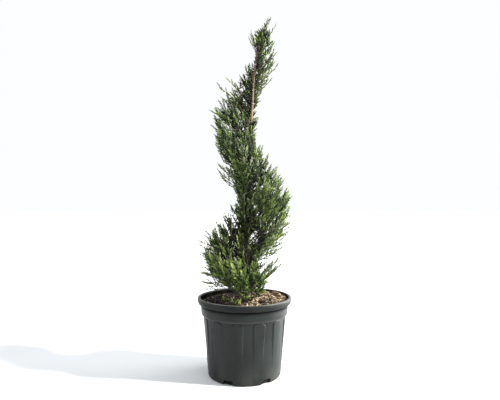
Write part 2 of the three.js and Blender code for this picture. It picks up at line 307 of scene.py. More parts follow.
# %% Pot: the turned profile
POT = {"rim": 140 * MM, "base": 108 * MM, "top": 124 * MM, "height": 230 * MM}
COLLAR_FOOT = 178 * MM
POT_STEPS = 540


def body_radius(z):
    return POT["base"] + (POT["top"] - POT["base"]) * z / COLLAR_FOOT


def spun(profile, steps, merge):
    """A profile of (radius, height), turned once round the upright axis."""
    form = bmesh.new()
    line = [form.verts.new((r, 0, z)) for r, z in profile]
    edges = [form.edges.new(pair) for pair in zip(line, line[1:])]
    bmesh.ops.spin(
        form, geom=line + edges, cent=(0, 0, 0), axis=(0, 0, 1), angle=math.tau, steps=steps, use_merge=True
    )
    bmesh.ops.remove_doubles(form, verts=form.verts, dist=merge)
    return form


side_heights = [*np.linspace(6, 24, 4), *np.linspace(30, 150, 18), *np.linspace(153, 176.6, 32)]
foot = [(0, 0), (60, 0), (102, 0), (104.6, 0.3), (106.3, 1.3), (107.3, 2.6), (107.9, 4.2)]
side = [(body_radius(z * MM) / MM, z) for z in side_heights]
collar = [
    (124.5, 177.1), (126, 177.9), (127.3, 179.2), (128.3, 181.2), (128.9, 184), (129.5, 188), (129.9, 193),
    (130.1, 199), (130.1, 204.5), (130.4, 207.2), (131.2, 208.7), (132.6, 209.4),
]
lip = [
    (135, 210.2), (137, 211.8), (138.6, 214.4), (139.6, 217.8), (140, 222), (140, 226.4), (139.7, 228.2),
    (138.9, 229.4), (137.6, 229.9), (136, 230), (134, 229.8), (132.4, 229.1), (131.4, 227.9), (131, 226),
]
inside = [
    (128.3, 216), (125, 204), (122, 188), (119, 170), (111, 88), (103.6, 8), (102.6, 4.6), (100, 3.2),
    (96.5, 3), (0, 3),
]
pot_profile = [(r * MM, z * MM) for r, z in foot + side + collar + lip + inside]
pot_form = spun(pot_profile, POT_STEPS, 0.01 * MM)
bmesh.ops.recalc_face_normals(pot_form, faces=pot_form.faces)
print("pot profile of", len(pot_profile), "points turned in", POT_STEPS, "steps")

# %% [markdown]
# Flutes and notches
#
# The flutes are pressed in by ribs of the mould. Their floors are flat and their sides steep. They
# are deepest a little below the collar, where the raised panels between them end in arches, and
# they fade out before the foot. Moving the turned vertices inwards gives all that with one rule. The drain
# notches cut right through the base edge, so those are taken away by a boolean cut.

# %% Pot: flutes
FLUTES, FLUTE_PHASE = 12, math.radians(-90 - 24.3)
FLUTE_TOP, FLUTE_FOOT, FLUTE_DEPTH = 177.2 * MM, 42 * MM, 2.3 * MM
FLUTE_HALF_TOP, FLUTE_HALF_FOOT = math.radians(6.2), math.radians(8.6)
FLUTE_EDGE = 3.4 * MM
ARCH = 15 * MM
FLUTE_FADE = 9 * MM


def smooth(x):
    x = min(max(x, 0.0), 1.0)
    return x * x * (3 - 2 * x)


def flute_depth(turn, z):
    """How far the mould's rib presses the wall in at this angle and height."""
    step = math.tau / FLUTES
    aside = abs((turn - FLUTE_PHASE + step / 2) % step - step / 2)
    up = (z - FLUTE_FOOT) / (FLUTE_TOP - FLUTE_FOOT)
    half = FLUTE_HALF_FOOT + (FLUTE_HALF_TOP - FLUTE_HALF_FOOT) * up
    across = (step / 2 - aside) * body_radius(z)
    panel = (step / 2 - half) * body_radius(z)
    corner = max(z - (FLUTE_TOP - ARCH), 0) / ARCH
    outside = panel - across if corner == 0 else panel * max(1 - corner**3, 0) ** 0.5 - across
    outside = min(outside, (FLUTE_TOP - z) * 0.9)
    on_panel = smooth(outside / FLUTE_EDGE + 0.35)
    shallow_top = 0.6 + 0.4 * smooth((FLUTE_TOP - z) / FLUTE_FADE)
    return FLUTE_DEPTH * (1 - on_panel) * smooth(up * 1.5) * shallow_top


for vert in pot_form.verts:
    out = math.hypot(vert.co.x, vert.co.y)
    if FLUTE_FOOT < vert.co.z < FLUTE_TOP and abs(out - body_radius(vert.co.z)) < 0.3 * MM:
        shrink = 1 - flute_depth(math.atan2(vert.co.y, vert.co.x), vert.co.z) / out
        vert.co.x *= shrink
        vert.co.y *= shrink
print("flutes pressed in to", FLUTE_DEPTH / MM, "mm")

# %% Pot: drain notches
NOTCH_HEIGHT, NOTCH_HALF = 15 * MM, math.radians(8.2)
NOTCH_INNER, NOTCH_OUTER = 99 * MM, POT["base"] + 12 * MM
NARROW_TOP, WIDE_FOOT = 0.82, 1.16

notch_form = bmesh.new()
for i in range(0, FLUTES, 2):
    turn = FLUTE_PHASE + i * math.tau / FLUTES
    for vert in bmesh.ops.create_cube(notch_form, size=1)["verts"]:
        high = vert.co.z > 0
        out = NOTCH_OUTER if vert.co.x > 0 else NOTCH_INNER
        wide = NOTCH_HALF * out * (NARROW_TOP if high else WIDE_FOOT)
        flat = Vector((out, math.copysign(wide, vert.co.y)))
        x = flat.x * math.cos(turn) - flat.y * math.sin(turn)
        y = flat.x * math.sin(turn) + flat.y * math.cos(turn)
        vert.co = (x, y, NOTCH_HEIGHT if high else -2 * MM)
notches = add_object("notches", mesh_from(notch_form))
pot_blank = add_object("pot_blank", mesh_from(pot_form))
cut = pot_blank.modifiers.new("notches", "BOOLEAN")
cut.object, cut.operation, cut.solver = notches, "DIFFERENCE", "EXACT"
bpy.context.view_layer.update()
pot_mesh = bpy.data.meshes.new_from_object(pot_blank.evaluated_get(bpy.context.evaluated_depsgraph_get()))
for helper in (notches, pot_blank):
    bpy.data.objects.remove(helper)
print("notches cut:", len(pot_mesh.polygons), "faces left in the pot")

# %% [markdown]
# The pot's plastic
#
# Recycled polypropylene comes out of the mould a dull grey green. It is never quite even: the melt
# leaves soft clouds and faint upright flow lines, handling scuffs the raised edges, and compost
# dust settles in the lower part and on the lip. A paler band on the collar's bead is partly rubbed
# wear and partly a painted highlight, and a paler line on the lip's top is a painted highlight. The
# inside of the lip, the corner under it and the lip's side get a dull, near-black coat, which is
# painted shade. The shine is satin, so the lamp's side shows one broad pale streak.

# %% Pot: finish
plastic = Finish("pot plastic", (0.011, 0.014, 0.0135), 0.42, Specular_IOR_Level=0.2)
clouds = plastic.noise(60 * MM, 4, (1, 1, 1.6))
flow = plastic.noise(3.2 * MM, 3, (1, 1, 26))
specks = plastic.noise(1.1 * MM, 2)
scuffs = plastic.between(plastic.noise(9 * MM, 6, (1, 1, 2.2), 0.72), 0.56, 0.74)
height = plastic.axis("Z")
dusty = plastic.between(height, 60 * MM, 4 * MM) * plastic.between(clouds, 0.35, 0.65)
dust = plastic.between(plastic.noise(5 * MM, 5), 0.42, 0.62)
lip_dust = plastic.between(height, 214 * MM, 229 * MM) * dust
# A paler band along the collar's bead: partly rubbed wear, partly a painted highlight.
bead_wear_and_highlight = plastic.between(height, 176.5 * MM, 178.5 * MM) * plastic.between(height, 186 * MM, 180 * MM)
tint = plastic.mix((0.0032, 0.0048, 0.0047), (0.0085, 0.0115, 0.011), plastic.between(clouds, 0.3, 0.7))
tint = plastic.mix(tint, (0.024, 0.029, 0.027), flow * 0.2 + scuffs * 0.28 + bead_wear_and_highlight * 0.7)
tint = plastic.mix(tint, (0.06, 0.058, 0.046), dusty * 0.22 + lip_dust * 0.15)
# A paler line along the top of the lip: a painted highlight.
lip_top_highlight = plastic.between(height, 228.7 * MM, 229.7 * MM)
plastic.paint(tint, (0.12, 0.125, 0.118), lip_top_highlight * (0.35 + clouds * 0.9))
plastic.feed("Roughness", 0.37 + clouds * 0.1 + scuffs * 0.12 + lip_dust * 0.1)
plastic.relief(flow * 0.4 + specks * 0.25 + clouds * 1.2, 0.16 * MM)

# A dull near-black coat over the inside of the lip, the corner under the lip and the lip's side: painted
# shade.
across = (plastic.axis("X") ** 2 + plastic.axis("Y") ** 2) ** 0.5
inner_wall_shade = plastic.between(across, 132.2 * MM, 130.8 * MM) * plastic.between(height, 204 * MM, 208 * MM)
corner = plastic.between(height, 196 * MM, 208 * MM) * plastic.between(height, 214 * MM, 209.5 * MM)
lip_side_shade = plastic.between(height, 210 * MM, 213 * MM) * plastic.between(height, 228.5 * MM, 224 * MM)
dull = inner_wall_shade + (1 - inner_wall_shade) * (corner * 0.62 + lip_side_shade * 0.3)
plastic.coat((0.0035, 0.0035, 0.003), dull)
piece("pot_shell", pot_mesh, plastic, ["pot"], 28)

# %% [markdown]
# The compost
#
# Potting compost is peat and fine bark. It was poured in level and has since settled: it lies a
# little lower on the left and is heaped on the right, where bark mulch was thrown on. The surface is
# a disc cut into rings and rays and lifted by noise in three sizes, from hollows to crumbs. Under
# it the plug of compost goes down to the pot's floor and shows through the notches, where it is
# painted near black low down as painted shade.

# %% Compost: the surface
SOIL = {"level": 216 * MM, "flat": 24 * MM, "mound": 7 * MM, "sink": 0.5 * MM, "radius": 129.2 * MM}
THROAT, THROAT_HEIGHT, LIP_INNER, LIP_HEIGHT = 125 * MM, 204 * MM, 131 * MM, 226 * MM
SOIL_RAYS, SOIL_RINGS = 220, 64


def soil_height(x, y):
    out = math.hypot(x, y)
    heap = SOIL["mound"] if x > 0 else SOIL["sink"]
    rough = 1.6 * MM * math.sin(x * 110 + y * 70) * math.cos(y * 130 - x * 50)
    spread = min(max((out - SOIL["flat"]) / (60 * MM), 0), 1)
    return SOIL["level"] + spread * (heap * x / POT["rim"] + rough)


def wall_radius(z):
    """The inside of the pot's sloping lip, less a hair's breadth."""
    return THROAT - 0.3 * MM + (LIP_INNER - THROAT) * (z - THROAT_HEIGHT) / (LIP_HEIGHT - THROAT_HEIGHT)


def crumble(x, y):
    """Hollows, clods and crumbs, in metres above the even surface."""
    at = Vector((x, y, 0))
    return sum(
        lift * MM * noise.noise(at / (size * MM) + Vector((7, 3, size)))
        for size, lift in ((34, 2.2), (11, 2.4), (4, 1.7))
    )


surface = [(r, SOIL["level"]) for r in np.linspace(0.5 * MM, SOIL["radius"], SOIL_RINGS)]
plug = [(121.4, 192), (109.3, 80), (102.8, 12), (101.4, 5.8), (98.6, 3.8), (0.5, 3.8)]
soil_form = spun(surface + [(r * MM, z * MM) for r, z in plug], SOIL_RAYS, 0.001 * MM)
bmesh.ops.holes_fill(soil_form, edges=soil_form.edges, sides=SOIL_RAYS + 1)
for vert in soil_form.verts:
    if vert.co.z > 200 * MM:
        edge = min(1, (SOIL["radius"] - math.hypot(vert.co.x, vert.co.y)) / (3 * MM))
        even = soil_height(vert.co.x, vert.co.y)
        vert.co.z = even + crumble(vert.co.x, vert.co.y) * (0.4 + 0.6 * edge)
        vert.co.xy *= wall_radius(even) / SOIL["radius"]
bmesh.ops.recalc_face_normals(soil_form, faces=soil_form.faces)

soil_finish = Finish("compost", (0.02, 0.016, 0.012), 0.95, Specular_IOR_Level=0.25)
clods = soil_finish.noise(7 * MM, 5, roughness=0.7)
patches = soil_finish.noise(28 * MM, 3)
grit = soil_finish.noise(1.4 * MM, 3)
dry = soil_finish.between(clods, 0.35, 0.68)
# Painted shade: the compost is painted near black low down, where it shows through the notches.
deep_shade = soil_finish.between(soil_finish.axis("Z"), 60 * MM, 25 * MM)
soil_tint = soil_finish.mix((0.003, 0.0026, 0.002), (0.017, 0.0125, 0.009), dry)
soil_tint = soil_finish.mix(soil_tint, (0.085, 0.06, 0.04), soil_finish.between(grit, 0.6, 0.75) * patches)
soil_finish.paint(soil_tint, (0.004, 0.003, 0.0025), deep_shade)
soil_finish.relief(clods + grit * 0.5, 1.6 * MM)
piece("compost_surface", mesh_from(soil_form), soil_finish, ["compost"], 60)

# %% [markdown]
# Bark mulch
#
# Mulch is pine bark and wood that went through a shredder. Most of it is torn strips, some flat and
# wide, many as thin as straw, and it weathers from tan to dark brown. One piece is a cube stretched,
# cut into sections, bent and roughened. Some thousands lie across one another at odd angles, thick on
# the right and thin on the left, with dark gaps between them where the light does not reach. Those on
# the right are dealt paler tones and those on the left darker: partly the chips' own colour, partly
# painted shade where the plant shades the left.

# %% Mulch: chips strewn on the compost
MULCH = {"strips": 1500, "crumbs": 1300, "long": (9, 27), "wide": (0.08, 0.3), "thick": (0.05, 0.11)}
# Left alone, a vector of noise starts from the clock, and no two runs would make the same chips.
NOISE_SEED = 8
noise.seed_set(NOISE_SEED)


def flake(seed):
    """One strip in a unit box: a slab in four sections with a bent middle and torn ends."""
    form = bmesh.new()
    bmesh.ops.create_cube(form, size=1)
    long_edges = [e for e in form.edges if abs(e.verts[0].co.x - e.verts[1].co.x) > 0.5]
    bmesh.ops.subdivide_edges(form, edges=long_edges, cuts=3)
    for vert in form.verts:
        push = noise.noise_vector(vert.co * 1.9 + Vector((seed * 3.7, 0, 0)))
        end = 1 - 0.5 * abs(vert.co.x * 2) ** 3
        vert.co.y *= end
        vert.co += Vector((push.x * 0.16, push.y * 0.4, push.z * 0.6))
        vert.co.y += 0.5 * math.sin(seed * 1.3 + vert.co.x * 2.6)
        vert.co.z += 0.8 * math.sin(seed * 2.1 + vert.co.x * 3)
    bmesh.ops.triangulate(form, faces=form.faces)
    bmesh.ops.recalc_face_normals(form, faces=form.faces)
    form.verts.ensure_lookup_table()
    points = np.array([v.co for v in form.verts])
    triangles = np.array([[v.index for v in f.verts] for f in form.faces])
    form.free()
    return points, triangles


FLAKES = [flake(seed) for seed in range(10)]


def turned(points, angles):
    """Points turned by (about z, then x, then y) in radians."""
    cz, sz, cx, sx, cy, sy = (f(a) for a in angles for f in (math.cos, math.sin))
    tilt_x = np.array([[1, 0, 0], [0, cx, -sx], [0, sx, cx]])
    tilt_y = np.array([[cy, 0, sy], [0, 1, 0], [-sy, 0, cy]])
    spin = np.array([[cz, -sz, 0], [sz, cz, 0], [0, 0, 1]])
    return points @ (spin @ tilt_x @ tilt_y).T


def strew(seed, count, share_right, long, stack, tones, clear=20 * MM):
    """Chips on the compost, dealt into tones by where they lie. Returns {tone: [(points, triangles)]}."""
    rng = np.random.default_rng(seed)
    slim, broad = MULCH["wide"]
    dealt = {tone: [] for tone in tones}
    while sum(map(len, dealt.values())) < count:
        out = (SOIL["radius"] - 5 * MM) * math.sqrt(rng.random())
        turn = rng.random() * math.tau
        x, y = out * math.cos(turn), out * math.sin(turn)
        rightness = smooth((x + 0.25 * -y) / (45 * MM) * 0.5 + 0.45)
        if rng.random() > (1 - share_right) + share_right * rightness or out < clear:
            continue
        length = rng.uniform(*long) * MM * (0.75 + 0.35 * rightness)
        width = length * slim + length * (broad - slim) * rng.random() ** 1.6
        thick = length * rng.uniform(*MULCH["thick"])
        tilt = rng.normal(0, 0.3, 2)
        points, triangles = FLAKES[int(rng.integers(len(FLAKES)))]
        laid = turned(points * (length, width, thick), (rng.random() * math.tau, *tilt))
        if SOIL["radius"] - out < 0.62 * length:
            continue
        lift = stack * MM * rightness * rng.random() + thick * 0.2
        laid = laid + (x, y, soil_height(x, y) + lift)
        # Paler tones on the right, darker on the left: partly the chips' own colour, partly painted shade
        # under the plant.
        pale = rightness * 0.52 + rng.normal(0.08, 0.32)
        tone = tones[int(min(max(pale, 0), 0.999) * len(tones))]
        dealt[tone].append((laid, triangles))
    return dealt


MULCH_TONES = {
    "dark": ((0.007, 0.0055, 0.0045), (0.02, 0.014, 0.01)),
    "brown": ((0.022, 0.0145, 0.0095), (0.07, 0.046, 0.028)),
    "tan": ((0.1, 0.068, 0.04), (0.23, 0.162, 0.1)),
    "pale": ((0.25, 0.18, 0.115), (0.5, 0.4, 0.28)),
}
tones = list(MULCH_TONES)
strips = strew(5, MULCH["strips"], share_right=0.72, long=MULCH["long"], stack=7.0, tones=tones)
crumbs = strew(6, MULCH["crumbs"], share_right=0.4, long=(2, 6), stack=2.5, tones=tones[:3], clear=8 * MM)
for tone, (low, high) in MULCH_TONES.items():
    flakes = Finish(f"mulch {tone}", high, 0.88, Specular_IOR_Level=0.3)
    grain = flakes.noise(2.4 * MM, 4, (1, 1, 1), 0.65)
    by_chip = flakes.noise(9 * MM, 1)
    flakes.paint(low, high, flakes.between(grain * 0.5 + by_chip * 0.5, 0.36, 0.64))
    flakes.relief(grain, 0.5 * MM)
    chips = joined(strips[tone] + crumbs.get(tone, []))
    piece(f"mulch_{tone}", chips, flakes, ["compost"], 20)

# %% [markdown]
# The trunk's line
#
# Even a stem that was led straight wanders a little, and the top of this one leans to the right.
# Two small waves and a steep power of the height give that line. The radius tapers almost evenly to
# a few millimetres and flares where the roots begin. Every limb and spray starts from this line, so
# it is written once, for one height or for a whole array of them.

# %% Trunk: its line and radius
TIP, TRUNK_TOP = 1077 * MM, 1036 * MM


def rise(z):
    """0 at the compost, 1 at the plant's tip."""
    return np.clip((z - SOIL["level"]) / (TIP - SOIL["level"]), 0, 1)


def trunk_axis(z):
    t = rise(np.asarray(z, float))
    x = 5 + 69 * t**4 + 5 * np.sin(4 * np.pi * t)
    return np.stack([x * MM, 4 * MM * np.sin(2.5 * np.pi * t), np.asarray(z, float)], -1)


def trunk_radius(z):
    t = rise(np.asarray(z, float))
    return (1.4 + 6.6 * (1 - t) ** 1.3 + 4.5 * np.exp(-28 * t)) * MM


print("trunk radius at the foot and near the top:", trunk_radius(SOIL["level"]), trunk_radius(TRUNK_TOP))

# %% [markdown]
# Juniper bark
#
# Old juniper bark is thin and fibrous. It splits into long upright strips that lift at their edges,
# and on the young upper stem it is smooth and tan. A ring of vertices drawn up along the line makes
# the stem, and noise drawn out along it makes the strips, deeper where the stem is thick. High up,
# where a cut has healed over, the stem swells, and a bell curve of the height adds that.

# %% Trunk: mesh with bark relief
TRUNK_SIDES, TRUNK_STEPS, TRUNK_FOOT = 28, 260, 211 * MM
CALLUS_AT, CALLUS_SPREAD, CALLUS = 940 * MM, 42 * MM, 1.5 * MM
YOUNG_BARK, SHOOT_BARK = (660 * MM, 780 * MM), (905 * MM, 950 * MM)


def bark_relief(turn, z, radius):
    """How far a strip of bark stands out here, in metres."""
    around = Vector((math.cos(turn), math.sin(turn), 0))
    strips = noise.noise(around * 2.6 + Vector((0, 0, z / 0.05)))
    fibres = noise.noise(around * 6.5 + Vector((3, 0, z / 0.018)))
    roots = math.cos(3 * turn + 0.8) * math.exp(-28 * float(rise(z)))
    return radius * (0.13 * (1 - abs(strips) * 2.4) + 0.07 * fibres + 0.16 * roots)


trunk_form = bmesh.new()
ring = bmesh.ops.create_circle(trunk_form, segments=TRUNK_SIDES, radius=1)["verts"]
trunk_form.edges.ensure_lookup_table()
rim = list(trunk_form.edges)
heights = np.linspace(TRUNK_FOOT, TRUNK_TOP, TRUNK_STEPS)
for step, z in enumerate(heights):
    centre = Vector(trunk_axis(z))
    radius = float(trunk_radius(z)) + CALLUS * math.exp(-(((z - CALLUS_AT) / CALLUS_SPREAD) ** 2))
    for vert in ring:
        turn = math.atan2(vert.co.y, vert.co.x)
        out = radius + bark_relief(turn, z, radius)
        vert.co = (math.cos(turn) * out, math.sin(turn) * out, 0)
    if step + 1 < TRUNK_STEPS:
        grown = bmesh.ops.extrude_edge_only(trunk_form, edges=rim)["geom"]
        rim = [e for e in grown if isinstance(e, bmesh.types.BMEdge)]
        next_ring = [v for v in grown if isinstance(v, bmesh.types.BMVert)]
    bmesh.ops.translate(trunk_form, verts=ring, vec=centre)
    ring = next_ring
bmesh.ops.holes_fill(trunk_form, edges=trunk_form.edges, sides=TRUNK_SIDES + 1)
bmesh.ops.recalc_face_normals(trunk_form, faces=trunk_form.faces)

bark = Finish("juniper bark", (0.16, 0.11, 0.075), 0.85, Specular_IOR_Level=0.3)
height = bark.axis("Z")
strips = bark.noise(4 * MM, 4, (0.5, 0.5, 9), 0.65)
blotches = bark.noise(16 * MM, 3, (1, 1, 3))
old_bark = bark.mix((0.026, 0.019, 0.015), (0.12, 0.09, 0.068), bark.between(strips, 0.32, 0.7))
young_bark = bark.mix((0.1, 0.066, 0.033), (0.25, 0.185, 0.105), bark.between(strips, 0.3, 0.66))
shoot_bark = bark.mix((0.055, 0.038, 0.029), (0.165, 0.115, 0.085), bark.between(strips, 0.3, 0.66))
up_the_stem = bark.between(height + blotches * 0.05, *YOUNG_BARK)
to_the_shoot = bark.between(height + blotches * 0.04, *SHOOT_BARK)
bark.paint(bark.mix(old_bark, young_bark, up_the_stem), shoot_bark, to_the_shoot)
bark.relief(strips, 0.9 * MM)
piece("trunk_stem", mesh_from(trunk_form), bark, ["trunk"], 40)

# %% [markdown]
# The spiral band
#
# The clipped foliage is one band that rises clockwise round the trunk. A place in it has three
# numbers: how far along the spiral, how far across the band, and how far out from the trunk. The
# outline the shears leave is a cone, narrower at the top, that falls to a groove at both edges of
# the band. These few rules are all that shapes the plant, and every limb and spray below asks them
# where the outline is.

# %% Band: the rule of the spiral
MASSES, TURNS, START = 16, 2.45, math.radians(300)
BAND_FOOT, BAND_TOP = 325 * MM, 1058 * MM
SWELL, SWAY = 0.68, 0.27
# Half the band's height at its foot and its top, and how far it bulges between, in millimetres.
HALF_FOOT, HALF_TOP, BULGE = 104, 34, 82
CONE_REACH, CONE_FOOT, CONE_TOP, CONE_POWER = 143 * MM, 330 * MM, 1080 * MM, 3.2
GROOVE = 13 * MM
CREST_FOOT, CREST_RISE = -0.25, 0.9
ROUNDING, FULLNESS = 1.6, 0.88
SECTOR = math.tau * TURNS / MASSES
UP = np.array([0.0, 0.0, 1.0])


def climb(s):
    """How far up the band is: slower where it swells, and swaying a little."""
    swell = SWELL * np.sin(2 * np.pi * s) / (2 * np.pi)
    return s - swell + SWAY * np.sin(4 * np.pi * s) / (4 * np.pi)


def band_height(s):
    return BAND_FOOT + (BAND_TOP - BAND_FOOT) * climb(s)


def band_turn(s):
    return START - math.tau * TURNS * s


def band_half(s):
    """Half the height of the band, in metres."""
    return (HALF_FOOT + (HALF_TOP - HALF_FOOT) * s + BULGE * np.sin(np.pi * np.clip(s, 0, 1))) * MM


def cone_reach(z):
    return CONE_REACH * (1 - np.clip((z - CONE_FOOT) / (CONE_TOP - CONE_FOOT), 0, 1) ** CONE_POWER)


def band_reach(s, w):
    """How far out the clipped outline is, from the trunk's own line."""
    full = cone_reach(band_height(s) + w * band_half(s))
    groove = np.minimum(GROOVE, full)
    crest = (CREST_FOOT + CREST_RISE * s) * (1 - w * w)
    from_crest = np.minimum(1, np.abs(w - crest))
    return groove + (full - groove) * (1 - from_crest**ROUNDING) ** FULLNESS


def outward(turn):
    return np.stack([np.cos(turn), np.sin(turn), np.zeros_like(turn)], -1)


def leaning(turn, lean):
    """Directions at this turn round the trunk, this far up from level."""
    return outward(turn) * np.cos(lean)[:, None] + UP * np.sin(lean)[:, None]


def band_point(s, w, radius):
    line = trunk_axis(band_height(s) + w * band_half(s))
    return line + outward(band_turn(s)) * np.asarray(radius)[..., None]


def unit(vectors):
    return vectors / np.maximum(np.linalg.norm(vectors, axis=-1, keepdims=True), 1e-12)


def outline_beside(points, s):
    """How far out points are, and how far out the clipped outline beside them is."""
    axis = trunk_axis(points[:, 2])
    x, y = points[:, 0] - axis[:, 0], points[:, 1] - axis[:, 1]
    away = (band_turn(s) - np.arctan2(y, x) + np.pi) % math.tau - np.pi
    s_here = np.clip(s + away / (math.tau * TURNS), -0.06, 1.03)
    w_here = np.clip((points[:, 2] - band_height(s_here)) / band_half(s_here), -1, 1)
    return np.hypot(x, y), band_reach(s_here, w_here)


for s in (0.1, 0.5, 0.9):
    print(f"band at {s}: height {band_height(s):.3f}, reach {band_reach(s, 0.0):.3f} m")

# %% [markdown]
# Tapering stems, many at once
#
# Limbs, twigs and the small stems of a spray are all the same thing at different sizes: a tapering
# tube along a curve. There are tens of thousands, so one helper makes them all from arrays. Each
# point of each curve gets a small ring of vertices, rings are joined, and both ends are closed.


# %% Stems from arrays
def stems(paths, radii, sides=3):
    """Closed tapering tubes. paths is (count, steps, 3), radii is (count, steps)."""
    count, steps = radii.shape
    along = unit(np.gradient(paths, axis=1))
    mean = unit(paths[:, -1] - paths[:, 0])
    steep = np.abs(mean[:, 2:]) > 0.85
    helper = np.where(steep, [[1.0, 0.0, 0.0]], [[0.0, 0.0, 1.0]])[:, None, :]
    side = unit(np.cross(along, helper))
    across = np.cross(along, side)
    turn = np.arange(sides) * math.tau / sides
    ring = side[:, :, None] * np.cos(turn)[:, None] + across[:, :, None] * np.sin(turn)[:, None]
    points = (paths[:, :, None] + ring * radii[:, :, None, None]).reshape(-1, 3)
    one = []
    for step in range(steps - 1):
        for j in range(sides):
            a, b = step * sides + j, step * sides + (j + 1) % sides
            one += [(a, b, b + sides), (a, b + sides, a + sides)]
    last = (steps - 1) * sides
    for j in range(1, sides - 1):
        one += [(0, j + 1, j), (last, last + j, last + j + 1)]
    starts = np.arange(count)[:, None, None] * steps * sides
    return points, (np.array(one)[None] + starts).reshape(-1, 3)


def bent(start, control, end, steps):
    """Quadratic curves through arrays of points, as (count, steps, 3)."""
    t = np.linspace(0, 1, steps)[None, :, None]
    return (1 - t) ** 2 * start[:, None] + 2 * t * (1 - t) * control[:, None] + t**2 * end[:, None]


print("tools for stems ready")

# %% [markdown]
# One spray of scale leaves
#
# A juniper's leaves are tiny scales pressed against the twig, so what the eye sees is not leaves but
# cords. A spray is one leading cord with shorter cords set round it, each a golden angle on from the
# last, flatter than it is wide. All curve forwards, and in a full spray each forks once more. The
# outer cords are this year's and paler, so a spray is kept in two parts, old growth and young tips.
# The old growth's darker green is partly its own colour and partly painted shade at the spray's base.
# A few sizes, each in a few shapes, are enough, because every one is turned, rolled and stretched
# when it is set on the plant.

# %% Sprays: growing the patterns
GOLDEN = math.radians(137.5)
CORD = 0.8 * MM
SIZES = {"short": 23 * MM, "middle": 33 * MM, "long": 46 * MM}
SHAPES = 5
SIDE_CORDS = 9
SHORTEST_CORD = 4 * MM
FLATNESS = 0.62
TAPER = {3: np.array([0.8, 1.0, 0.3]), 2: np.array([0.95, 0.35])}


def grow_spray(length, seed, sides, forks, wide, opening, thick):
    """One spray from the origin along +Y: ({old growth}, {young tips}) as (points, triangles).

    Each of its sides has so many forks, is wide times as long as the spray, and opens by opening
    degrees. Its cords are thick times as thick as a plain cord.
    """
    rng = np.random.default_rng(seed)
    cord_radius = CORD * thick
    sway, lift = rng.normal(0, 0.07), rng.uniform(0.02, 0.12)
    first_turn = rng.uniform(0, math.tau)
    old, young = [], []

    def cord(root, heading, reach, radius, is_young, steps):
        t = np.linspace(0, 1, steps)[:, None]
        path = root + reach * (t * heading + 0.25 * t * t * np.array([-0.3 * heading[0], 0.6, 0.1]))
        (young if is_young else old).append(stems(path[None], (radius * TAPER[steps])[None]))
        return path

    def lead(t):
        return length * np.array([sway * t * t, t, lift * t * t])

    low = np.array([lead(t) for t in (0, 0.3, 0.6)])
    high = np.array([lead(t) for t in (0.6, 0.85, 1.0)])
    old.append(stems(low[None], cord_radius * np.array([[1.15, 1.1, 1.0]])))
    young.append(stems(high[None], cord_radius * np.array([[1.0, 0.95, 0.3]])))
    for i in range(sides):
        t = 0.06 + 0.84 * (i + rng.uniform(0.0, 0.5)) / sides
        open_by = math.radians(rng.uniform(*opening)) * (1 - 0.3 * t)
        roll = first_turn + i * GOLDEN + rng.normal(0, 0.25)
        reach = length * wide * (1 - t) ** 0.6 * min(1, 0.6 + 1.8 * t) * rng.uniform(0.75, 1.2)
        reach = max(reach, SHORTEST_CORD)
        aside = math.sin(open_by)
        heading = np.array([aside * math.cos(roll), math.cos(open_by), FLATNESS * aside * math.sin(roll)])
        path = cord(lead(t), heading, reach, cord_radius, t > 0.5, 3)
        for j in range(forks):
            u = 0.3 + 0.5 * (j + rng.uniform(0, 0.4)) / forks
            root = path[0] + (path[2] - path[0]) * u
            turn = (1 if (i + j) % 2 else -1) * math.radians(rng.uniform(24, 42))
            c, s = math.cos(turn), math.sin(turn)
            x, y, z = heading
            fork = np.array([x * c - y * s, x * s + y * c, z + 0.12])
            cord(root, fork, reach * rng.uniform(0.45, 0.65) * (1.15 - u), cord_radius * 0.9, True, 2)
    return joined(old), joined(young)


HABITS = {
    "full": {"forks": 1, "wide": 0.4, "opening": (26, 44), "thick": 1.0},
    "plain": {"forks": 0, "wide": 0.42, "opening": (24, 42), "thick": 1.35},
    "tuft": {"forks": 0, "wide": 0.55, "opening": (26, 62), "thick": 1.25},
}
PATTERNS = {}
for i, (size, length) in enumerate(SIZES.items()):
    for habit, traits in HABITS.items():
        sides, seeds = SIDE_CORDS + 2 * i, [10 * shape + i for shape in range(SHAPES)]
        shapes = [grow_spray(length, seed, sides, **traits) for seed in seeds]
        PATTERNS[size, habit] = shapes
        print(size, habit, "spray:", sum(len(part[1]) for part in shapes[0]), "triangles")

# %% [markdown]
# Limbs and their plumes
#
# Clipping makes a juniper branch again and again near the shears, so a limb is bare near the trunk
# and ends in a plume: its own tip, and side sprays set round it, each a golden angle on from the
# last, all bending towards the light. `Limbs` holds many of them as arrays, and `leaf_out` sets the
# sprays on them. A spray that would grow out past the clipped outline is left off, as if sheared,
# and so is one that would hide a stretch of stem that the grower keeps clean.


# %% Limbs and plumes
# How far out any tip may be, how far a spray may pass the outline, and so far that it is free of it.
WIDEST, PAST_OUTLINE, FREE = 146 * MM, 4 * MM, 1.0
# Heights kept clear above the compost and the rim, and how far out the rim begins.
ROOT_CLEAR, TIP_CLEAR, RIM_CLEAR, INSIDE_RIM = 4 * MM, 6 * MM, 5 * MM, 120 * MM
# How far a limb's own tip opens, in shares of a side spray, and how strongly tips turn to the light.
LEAD_OPENING, TURN_UP_LEAD, TURN_UP_SIDE = 0.12, 0.12, 0.4


